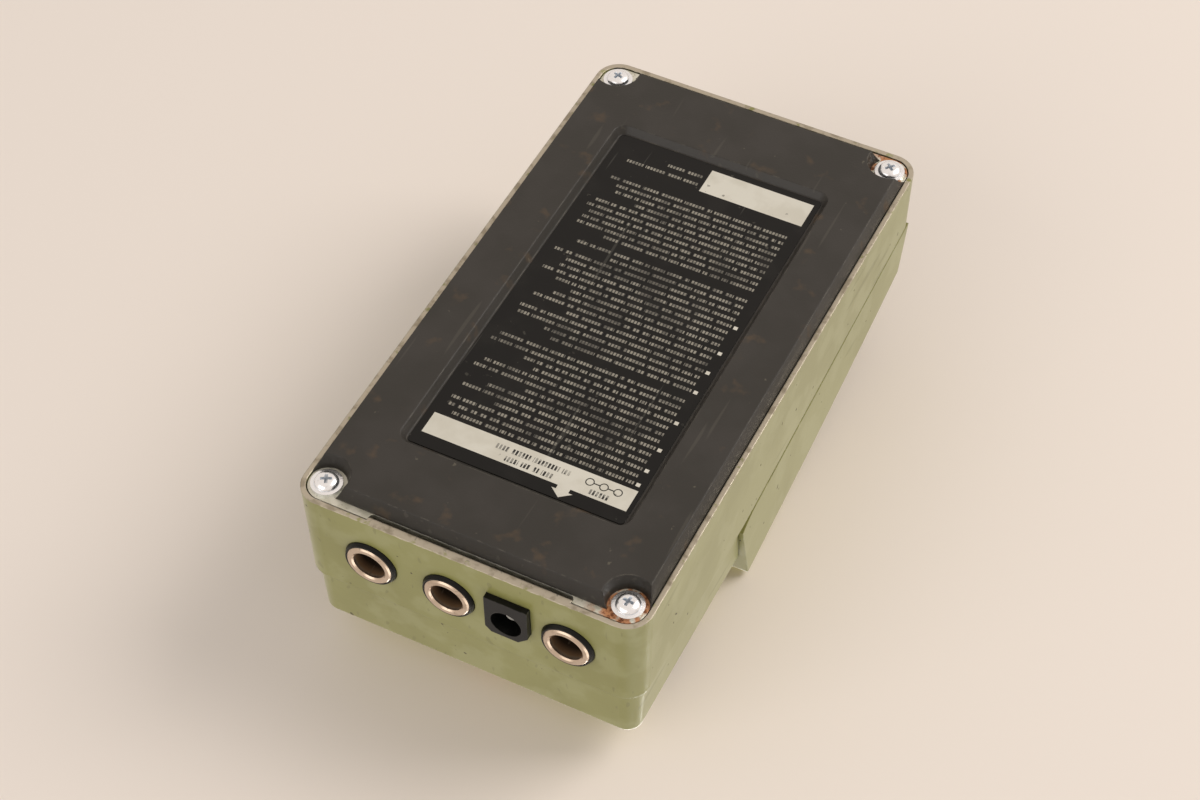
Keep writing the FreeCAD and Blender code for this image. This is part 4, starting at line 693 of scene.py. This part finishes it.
def complete(piece, body, maker):
    """Gives a finished piece its finish and the body that it rides on."""
    piece.data.materials.clear()
    piece.data.materials.append(finish_of(maker))
    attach(piece, body)


class PedalOperator(bpy.types.Operator):
    """What the operators here share."""

    bl_options = {"REGISTER", "UNDO"}


class PEDAL_OT_finishes(PedalOperator):
    """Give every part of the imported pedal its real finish"""

    bl_idname = "pedal.finishes"
    bl_label = "Finishes"

    def execute(self, context):
        for name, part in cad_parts.items():
            slot = part.data.materials[0].name
            maker = OWN_FINISHES.get(name.split("_jack_")[-1], SLOT_FINISHES[slot])
            part.material_slots[0].material = finish_of(maker)
        return {"FINISHED"}


class PEDAL_OT_screws(PedalOperator):
    """Model the four screws of the base, with their domed heads and cross recesses"""

    bl_idname = "pedal.screws"
    bl_label = "Base screws"

    WASHER_FACE = 0.6 * MM  # thickness
    SHANK = 1.5 * MM  # radius
    DOME_STEPS = 6
    DOME_SPREAD = 0.8  # share of a quarter circle that the dome's outline takes
    RECESS_DEPTH = 1.3 * MM
    RECESS_TAPER = (0.45, 0.6, 1)  # the recess's floor against its mouth
    DRIVEN = (0.3, 1.1, 0.75, 0.1)  # how far each screw is turned, in radians

    def blank(self, seat, low_z, high_z):
        """A screw on the Z axis: its shank from the seat upwards, its domed head down to low_z."""
        sizes = bpy.context.scene.pedal_sizes
        face = seat - self.WASHER_FACE
        screw = start("base_screw", bpy.ops.mesh.primitive_cylinder_add, vertices=40,
                      radius=sizes.screw_flange, depth=seat - face, location=(0, 0, (seat + face) / 2))
        pick(screw, faces_up)
        bpy.ops.mesh.inset(thickness=sizes.screw_flange - self.SHANK)
        push((0, 0, high_z - seat))
        pick(screw, faces_down)
        bpy.ops.mesh.inset(thickness=sizes.screw_flange - sizes.screw_head)
        turns = [step / self.DOME_STEPS * math.pi / 2 for step in range(self.DOME_STEPS + 1)]
        for before, after in zip(turns, turns[1:]):
            push((0, 0, -(face - low_z) * (math.sin(after) - math.sin(before))))
            shrink = math.cos(after * self.DOME_SPREAD) / math.cos(before * self.DOME_SPREAD)
            bpy.ops.transform.resize(value=(shrink, shrink, 1))
        bpy.ops.object.mode_set(mode="OBJECT")
        return screw

    def cut_recess(self, screw, low_z):
        """Cuts the two arms of the cross recess into the dome."""
        sizes = bpy.context.scene.pedal_sizes
        for turn in (0, math.pi / 2):
            arm = start("recess_arm", bpy.ops.mesh.primitive_cube_add, size=1, location=(0, 0, low_z),
                        scale=(sizes.recess_reach, sizes.recess_width, 2 * self.RECESS_DEPTH))
            pick(arm, faces_up)
            bpy.ops.transform.resize(value=self.RECESS_TAPER)
            bpy.ops.object.mode_set(mode="OBJECT")
            arm.data.transform(Matrix.Rotation(turn, 4, "Z"))
            apply_modifier(screw, "BOOLEAN", operation="DIFFERENCE", object=arm, solver="EXACT")
            discard(arm)

    def execute(self, context):
        low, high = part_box("base_screws")
        flange = context.scene.pedal_sizes.screw_flange
        screw = self.blank(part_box("base_plate")[0].z, low.z, high.z)
        self.cut_recess(screw, low.z)
        apply_modifier(screw, "BEVEL", width=0.07 * MM, segments=2, limit_method="ANGLE",
                       angle_limit=math.radians(30))
        smooth(screw)
        columns, rows = (low.x + flange, high.x - flange), (low.y + flange, high.y - flange)
        places = [Matrix.Translation((x, y, 0)) for x in columns for y in rows]
        for number, (place, turn) in enumerate(zip(places, self.DRIVEN), 1):
            copy = copy_piece(screw, f"base_screw_{number}", place @ Matrix.Rotation(turn, 4, "Z"))
            complete(copy, "pedal", plated_screw)
            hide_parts("base_screws")
        discard(screw)
        return {"FINISHED"}


class PEDAL_OT_label_print(PedalOperator):
    """Print the base label: a band with an arrow and plain rings, a bare plate and rows of plain ticks"""

    bl_idname = "pedal.label_print"
    bl_label = "Label print"

    BAND = (2.9 * MM, 7.9 * MM)  # from the label's rear end, as are the arrow's and the rows' places
    BAND_MARGINS = (1.5 * MM, 0.8 * MM)
    ARROW_X = 9 * MM
    ARROW_NECK, ARROW_TIP = 2 * MM, 0.4 * MM
    ARROW_STEM, ARROW_HEAD = 1.25 * MM, 2.1 * MM  # half of the width
    PLATE = (7.8 * MM, 1.5 * MM)  # from the label's front end
    PLATE_LEFT, PLATE_MARGIN = -1 * MM, 1.1 * MM
    BULLET, BULLET_GAP = 0.8 * MM, 0.5 * MM
    RING_RADIUS, RING_LINE = 0.85 * MM, 0.17 * MM
    RING_PLACES = (12.6 * MM, 15.4 * MM, 18.2 * MM)
    RING_ROW, LINK_LINE = 6 * MM, 0.2 * MM
    BAND_ROWS = (  # right end, left end, place
        (6 * MM, -3.6 * MM, 3.5 * MM), (8.6 * MM, -6.4 * MM, 5.5 * MM), (17.2 * MM, 13.4 * MM, 3.5 * MM))
    BAND_ROW_HEIGHT, BAND_WORD = 1.1 * MM, 6 * MM
    WORD = 5 * MM  # the longest run of ticks in a row
    RAGGED = 12 * MM  # how much shorter than the others a row may be

    def block(self, name, left, right, rear, front):
        """A raised flat block of ink between those sides of the label."""
        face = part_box("base_label")[0].z
        block = start(name, bpy.ops.mesh.primitive_plane_add, size=1, location=(0, 0, face))
        block.data.transform(Matrix.Translation(((left + right) / 2, (rear + front) / 2, 0))
                             @ Matrix.Diagonal((right - left, rear - front, 1, 1)))
        pick(block, any_face)
        push((0, 0, -bpy.context.scene.pedal_sizes.ink_thickness))
        close_outwards()
        return block

    def ring(self):
        """A raised flat ring round the origin on the label."""
        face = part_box("base_label")[0].z
        ring = start("label_ring", bpy.ops.mesh.primitive_circle_add, vertices=24, radius=self.RING_RADIUS,
                     fill_type="NGON", location=(0, 0, face))
        pick(ring, any_face)
        bpy.ops.mesh.inset(thickness=self.RING_LINE)
        bpy.ops.mesh.delete(type="FACE")
        pick(ring, any_face)
        push((0, 0, -bpy.context.scene.pedal_sizes.ink_thickness))
        close_outwards()
        return ring

    def row(self, dash, chance, right, left, rear, height, longest, lift=0):
        """Copies of the dash from the right end to the left, each of a chance length."""
        made, x, shortest, gap = [], right, longest / 6, longest / 9
        while x > left + MM:
            length = min(chance.uniform(shortest, longest), x - left)
            place = Matrix.Translation((x - length, rear - height, lift))
            stretch = (length / MM, height / bpy.context.scene.pedal_sizes.row_height, 1, 1)
            made.append(copy_piece(dash, "label_mark", place @ Matrix.Diagonal(stretch)))
            x -= length + gap
        return made

    def band(self, low, high):
        """The band along the rear end with its arrow, and the plate at the front end."""
        rear, x = high.y, self.ARROW_X
        neck, tip_y = rear - self.ARROW_NECK, rear - self.ARROW_TIP
        band_rear, band_front = (rear - y for y in self.BAND)
        plate_rear, plate_front = (low.y + y for y in self.PLATE)
        left_margin, right_margin = self.BAND_MARGINS
        band = self.block("label_band", low.x + left_margin, high.x - right_margin, band_rear, band_front)
        stem = self.block("label_stem", x - self.ARROW_STEM, x + self.ARROW_STEM, neck, band_rear)
        tip = self.block("label_tip", x - self.ARROW_HEAD, x + self.ARROW_HEAD, tip_y, neck)
        for corner in tip.data.vertices:
            if corner.co.y > (tip_y + neck) / 2:
                corner.co.x = x
        plate_right = high.x - self.PLATE_MARGIN
        plate = self.block("label_plate", self.PLATE_LEFT, plate_right, plate_rear, plate_front)
        complete(join("label_band", [band, stem, tip, plate]), "pedal", cream_ink)

    def rows(self, low, high, dash, dot, chance):
        """Four paragraphs of rows, some with a bullet at the start of a row."""
        sizes = bpy.context.scene.pedal_sizes
        full = high.x - 2.4 * MM, low.x + 2 * MM
        beside_plate = -2 * MM, low.x + 4 * MM
        paragraphs = (  # place of the first row, rows, pitch against the setting, ends, rows with a bullet
            (9.6 * MM, 13, 1.0, full, (0, 2, 5, 9)),
            (33.6 * MM, 15, 1.0, full, (0, 3, 6, 10)),
            (61.4 * MM, 10, 0.97, full, ()),
            (82.3 * MM, 2, 1.3, beside_plate, ()),
        )
        marks, bullets = [], []
        for first, count, pitch, (right, left), with_bullet in paragraphs:
            for number in range(count):
                y = high.y - first - number * sizes.row_pitch * pitch
                if number in with_bullet:
                    place = Matrix.Translation((right + self.BULLET_GAP, y, 0))
                    bullets.append(copy_piece(dot, "label_bullet", place))
                end = left + chance.random() ** 2 * self.RAGGED
                marks += self.row(dash, chance, right, end, y + sizes.row_height, sizes.row_height, self.WORD)
        complete(join("label_rows", marks), "pedal", faded_rows)
        complete(join("label_bullets", bullets), "pedal", cream_ink)

    def band_print(self, rear, dash, ring, chance):
        """Three linked rings and three rows of ticks, on top of the band's ink."""
        above = -bpy.context.scene.pedal_sizes.ink_thickness
        marks = [copy_piece(ring, "band_mark", Matrix.Translation((x, rear - self.RING_ROW, above)))
                 for x in self.RING_PLACES]
        link_rear = rear - self.RING_ROW + self.LINK_LINE / 2
        for first, second in zip(self.RING_PLACES, self.RING_PLACES[1:]):
            middle, half = (first + second) / 2, (second - first) / 2 - self.RING_RADIUS
            marks += self.row(dash, chance, middle + half, middle - half, link_rear, self.LINK_LINE,
                              self.WORD, above)
        complete(join("band_marks", marks), "pedal", gloss_film)
        words = []
        for right, left, place in self.BAND_ROWS:
            words += self.row(dash, chance, right, left, rear - place, self.BAND_ROW_HEIGHT, self.BAND_WORD,
                              above)
        complete(join("band_rows", words), "pedal", dark_rows)

    def execute(self, context):
        low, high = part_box("base_label")
        self.band(low, high)
        chance = random.Random(7)
        dash = self.block("label_dash", 0, MM, context.scene.pedal_sizes.row_height, 0)
        dot = self.block("label_dot", 0, self.BULLET, self.BULLET, 0)
        self.rows(low, high, dash, dot, chance)
        ring = self.ring()
        self.band_print(high.y, dash, ring, chance)
        discard(dash, dot, ring)
        return {"FINISHED"}


class PEDAL_OT_knob_marks(PedalOperator):
    """Fill the knobs' pointer grooves and print the ticks of their dials"""

    bl_idname = "pedal.knob_marks"
    bl_label = "Knob marks"

    POINTER = (0.8 * MM, 4.2 * MM, 0.34 * MM)
    POINTER_MIDDLE, POINTER_DEPTH = 2.4 * MM, 0.23 * MM  # from the knob's axis and from its top
    TICK_WIDTH, TICK_HEIGHT = 0.5 * MM, 0.06 * MM
    DIAL_MARGIN = 0.7 * MM  # from the knob's skirt to the middle of a tick
    PANEL_GAP = 0.5 * MM  # under a knob

    def pointer(self, name, middle, top):
        """The filling of a knob's pointer groove."""
        place = (middle.x, middle.y + self.POINTER_MIDDLE, top - self.POINTER_DEPTH)
        pointer = start(f"{name}_pointer", bpy.ops.mesh.primitive_cube_add, size=1, scale=self.POINTER,
                        location=place)
        apply_modifier(pointer, "BEVEL", width=0.08 * MM, segments=2)
        smooth(pointer)
        complete(pointer, f"{name}_knob", cream_ink)

    def dial(self, name, middle, radius, panel):
        """The ticks round a knob, one for each of its printed stops."""
        turns = range(-60, 61, 40) if name == "range" else range(-150, 151, 30)
        tick = start("dial_tick", bpy.ops.mesh.primitive_cube_add, size=1,
                     scale=(self.TICK_WIDTH, bpy.context.scene.pedal_sizes.dial_tick, self.TICK_HEIGHT),
                     location=(0, radius + self.DIAL_MARGIN, panel))
        apply_modifier(tick, "BEVEL", width=0.02 * MM, segments=1)
        place = Matrix.Translation((middle.x, middle.y, 0))
        ticks = [copy_piece(tick, "dial_tick_copy", place @ Matrix.Rotation(math.radians(turn), 4, "Z"))
                 for turn in turns]
        discard(tick)
        complete(join(f"{name}_dial", ticks), "pedal", cream_ink)

    def execute(self, context):
        for name in KNOBS:
            low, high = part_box(f"{name}_knob")
            middle = (low + high) / 2
            self.pointer(name, middle, high.z)
            self.dial(name, middle, (high.x - low.x) / 2, low.z - self.PANEL_GAP)
        return {"FINISHED"}


class PEDAL_OT_battery_pad(PedalOperator):
    """Model the foam pad under the battery lid"""

    bl_idname = "pedal.battery_pad"
    bl_label = "Battery pad"

    CELL = 0.7 * MM
    UNEVEN = 0.09 * MM

    def execute(self, context):
        pad = copy_node("battery_pad", "battery_foam")
        apply_modifier(pad, "BEVEL", width=0.9 * MM, segments=3)
        apply_modifier(pad, "REMESH", mode="VOXEL", voxel_size=self.CELL)
        edit_all(pad)
        bpy.ops.transform.vertex_random(offset=self.UNEVEN, seed=3)
        bpy.ops.object.mode_set(mode="OBJECT")
        smooth(pad, 60)
        complete(pad, "battery_lid", open_foam)
        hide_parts("battery_pad")
        return {"FINISHED"}


class PEDAL_OT_treadle_spring(PedalOperator):
    """Wind the spring between the battery lid and the treadle"""

    bl_idname = "pedal.treadle_spring"
    bl_label = "Treadle spring"

    COILS = 4
    STEPS = 36  # in a turn
    WIRE_SIDES = 10

    def execute(self, context):
        wire = context.scene.pedal_sizes.spring_wire
        low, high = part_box("treadle_spring")
        middle = (low + high) / 2
        coil = start("treadle_coil", bpy.ops.mesh.primitive_circle_add, vertices=self.WIRE_SIDES,
                     radius=wire / 2, fill_type="NOTHING", location=(0, 0, 0), rotation=(math.pi / 2, 0, 0))
        coil.data.transform(Matrix.Translation(((high.x - low.x - wire) / 2, 0, 0)))
        apply_modifier(coil, "SCREW", angle=2 * math.pi, iterations=self.COILS, steps=self.STEPS,
                       render_steps=self.STEPS, screw_offset=(high.z - low.z - wire) / self.COILS,
                       use_merge_vertices=True)
        coil.data.transform(Matrix.Translation((middle.x, middle.y, low.z + wire / 2)))
        edit_all(coil)
        bpy.ops.mesh.fill_holes(sides=0)
        close_outwards()
        smooth(coil, 60)
        complete(coil, "battery_lid", drawn_steel)
        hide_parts("treadle_spring")
        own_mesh(coil)
        return {"FINISHED"}


class PEDAL_OT_stage(PedalOperator):
    """Set up the floors, the lamps and the camera"""

    bl_idname = "pedal.stage"
    bl_label = "Stage"

    FLOOR_SIZE, FLOOR_GAP = 3, 0.1 * MM
    LAMPS = (  # name, place, size, power, tint
        ("photo_key", (0.95, -0.75, -1.1), 0.9, "key", "fffcf8"),
        ("photo_fill", (-0.45, 1.3, -0.7), 1.2, "fill", "fffdfb"),
        ("room_key", (0.08, -0.3, 1.47), 0.7, "top", "fffcf8"),
        ("room_fill", (1.0, 0.9, 0.9), 1.2, "fill", "fffdfb"),
    )
    LAMP_TARGET = Vector((0, 0, 0.02))
    SKY_TINT = (1, 0.985, 0.965, 1)
    CAMERA_PLACE = (0.1401, 0.2822, -0.3512)
    CAMERA_TURN = (-140.176, -0.447, -26.688)  # degrees

    def floor(self, name, height, faces_down):
        """A plain floor that shows only from its own side, so that it hides the pedal from neither."""
        floor = start(name, bpy.ops.mesh.primitive_plane_add, size=self.FLOOR_SIZE, location=(0, 0, height))
        if faces_down:
            floor.data.flip_normals()
        material = bpy.data.materials.new(name)
        material.use_nodes = True
        tree = material.node_tree
        shader = tree.nodes["Principled BSDF"]
        shader.inputs["Base Color"].default_value = (*bpy.context.scene.pedal_stage.floor, 1)
        shader.inputs["Roughness"].default_value = 0.9
        clear = add_node(tree, "BsdfTransparent", {}).outputs[0]
        behind = add_node(tree, "NewGeometry", {}).outputs["Backfacing"]
        seen = add_node(tree, "LightPath", {}).outputs["Is Camera Ray"]
        shown = add_node(tree, "Math", {0: seen, 1: behind}, operation="SUBTRACT", use_clamp=True).outputs[0]
        mixed = add_node(tree, "MixShader", {0: shown, 1: clear, 2: shader.outputs[0]})
        tree.links.new(mixed.outputs[0], tree.nodes["Material Output"].inputs["Surface"])
        floor.data.materials.append(material)

    def lamp(self, name, place, size, power, tint):
        """A soft square lamp aimed at the pedal."""
        light = bpy.data.lights.new(name, "AREA")
        light.size = size
        light.energy = power
        light.color = linear(tint)
        holder = bpy.data.objects.new(name, light)
        bpy.context.collection.objects.link(holder)
        holder.location = place
        aim = self.LAMP_TARGET - holder.location
        holder.rotation_euler = aim.to_track_quat("-Z", "Y").to_euler()

    def even_light(self, stage):
        """The even light round the pedal, in whose place the camera and mirror images see the backdrop."""
        world = bpy.data.worlds.new("even_light")
        world.use_nodes = True
        tree = world.node_tree
        background = tree.nodes["Background"]
        background.inputs["Color"].default_value = self.SKY_TINT
        background.inputs["Strength"].default_value = stage.sky
        backdrop = add_node(tree, "Background", {"Color": (*stage.floor, 1), "Strength": 1}).outputs[0]
        rays = add_node(tree, "LightPath", {}).outputs
        glossy, transmitted = rays["Is Glossy Ray"], rays["Is Transmission Ray"]
        mirrored = add_node(tree, "Math", {0: glossy, 1: transmitted}).outputs[0]
        shown = add_node(tree, "Math", {0: rays["Is Camera Ray"], 1: mirrored}, use_clamp=True).outputs[0]
        mixed = add_node(tree, "MixShader", {0: shown, 1: background.outputs[0], 2: backdrop})
        tree.links.new(mixed.outputs[0], tree.nodes["World Output"].inputs["Surface"])
        bpy.context.scene.world = world

    def camera(self, lens):
        """The camera that took the photograph."""
        camera = bpy.data.cameras.new("photo_camera")
        camera.lens = lens
        camera.sensor_width = 36
        holder = bpy.data.objects.new("photo_camera", camera)
        bpy.context.scene.collection.objects.link(holder)
        holder.location = self.CAMERA_PLACE
        holder.rotation_euler = [math.radians(degrees) for degrees in self.CAMERA_TURN]
        bpy.context.scene.camera = holder

    def execute(self, context):
        stage = context.scene.pedal_stage
        # Upside down, the pedal rests on its treadle, and its knobs sink into the floor.
        self.floor("carpet_side_floor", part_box("treadle_pad")[1].z + self.FLOOR_GAP, True)
        self.floor("table_side_floor", cad_box[0].z - self.FLOOR_GAP, False)
        for name, place, size, power, tint in self.LAMPS:
            self.lamp(name, place, size, getattr(stage, power), tint)
        self.even_light(stage)
        context.scene.view_settings.view_transform = "Standard"
        self.camera(stage.lens)
        return {"FINISHED"}


OPERATORS = (
    PEDAL_OT_finishes,
    PEDAL_OT_screws,
    PEDAL_OT_label_print,
    PEDAL_OT_knob_marks,
    PEDAL_OT_battery_pad,
    PEDAL_OT_treadle_spring,
    PEDAL_OT_stage,
)


class PEDAL_PT_looks(bpy.types.Panel):
    """Lists the pieces of the pedal's looks and what a user may change"""

    bl_label = "Delay pedal"
    bl_space_type = "VIEW_3D"
    bl_region_type = "UI"
    bl_category = "Delay pedal"

    def draw(self, context):
        for operator in OPERATORS:
            self.layout.operator(operator.bl_idname)
        for group in (context.scene.pedal_colours, context.scene.pedal_sizes, context.scene.pedal_stage):
            box = self.layout.box()
            for setting in group.__annotations__:
                box.prop(group, setting)


GROUPS = (PedalColours, PedalSizes, PedalStage)


def register():
    for group in (*GROUPS, *OPERATORS, PEDAL_PT_looks):
        bpy.utils.register_class(group)
    bpy.types.Scene.pedal_colours = bpy.props.PointerProperty(type=PedalColours)
    bpy.types.Scene.pedal_sizes = bpy.props.PointerProperty(type=PedalSizes)
    bpy.types.Scene.pedal_stage = bpy.props.PointerProperty(type=PedalStage)


def unregister():
    del bpy.types.Scene.pedal_colours
    del bpy.types.Scene.pedal_sizes
    del bpy.types.Scene.pedal_stage
    for group in reversed((*GROUPS, *OPERATORS, PEDAL_PT_looks)):
        bpy.utils.unregister_class(group)


def main():
    register()
    bpy.ops.pedal.finishes()
    bpy.ops.pedal.screws()
    bpy.ops.pedal.label_print()
    bpy.ops.pedal.knob_marks()
    bpy.ops.pedal.battery_pad()
    bpy.ops.pedal.treadle_spring()
    bpy.ops.pedal.stage()


if __name__ == "__main__":
    main()
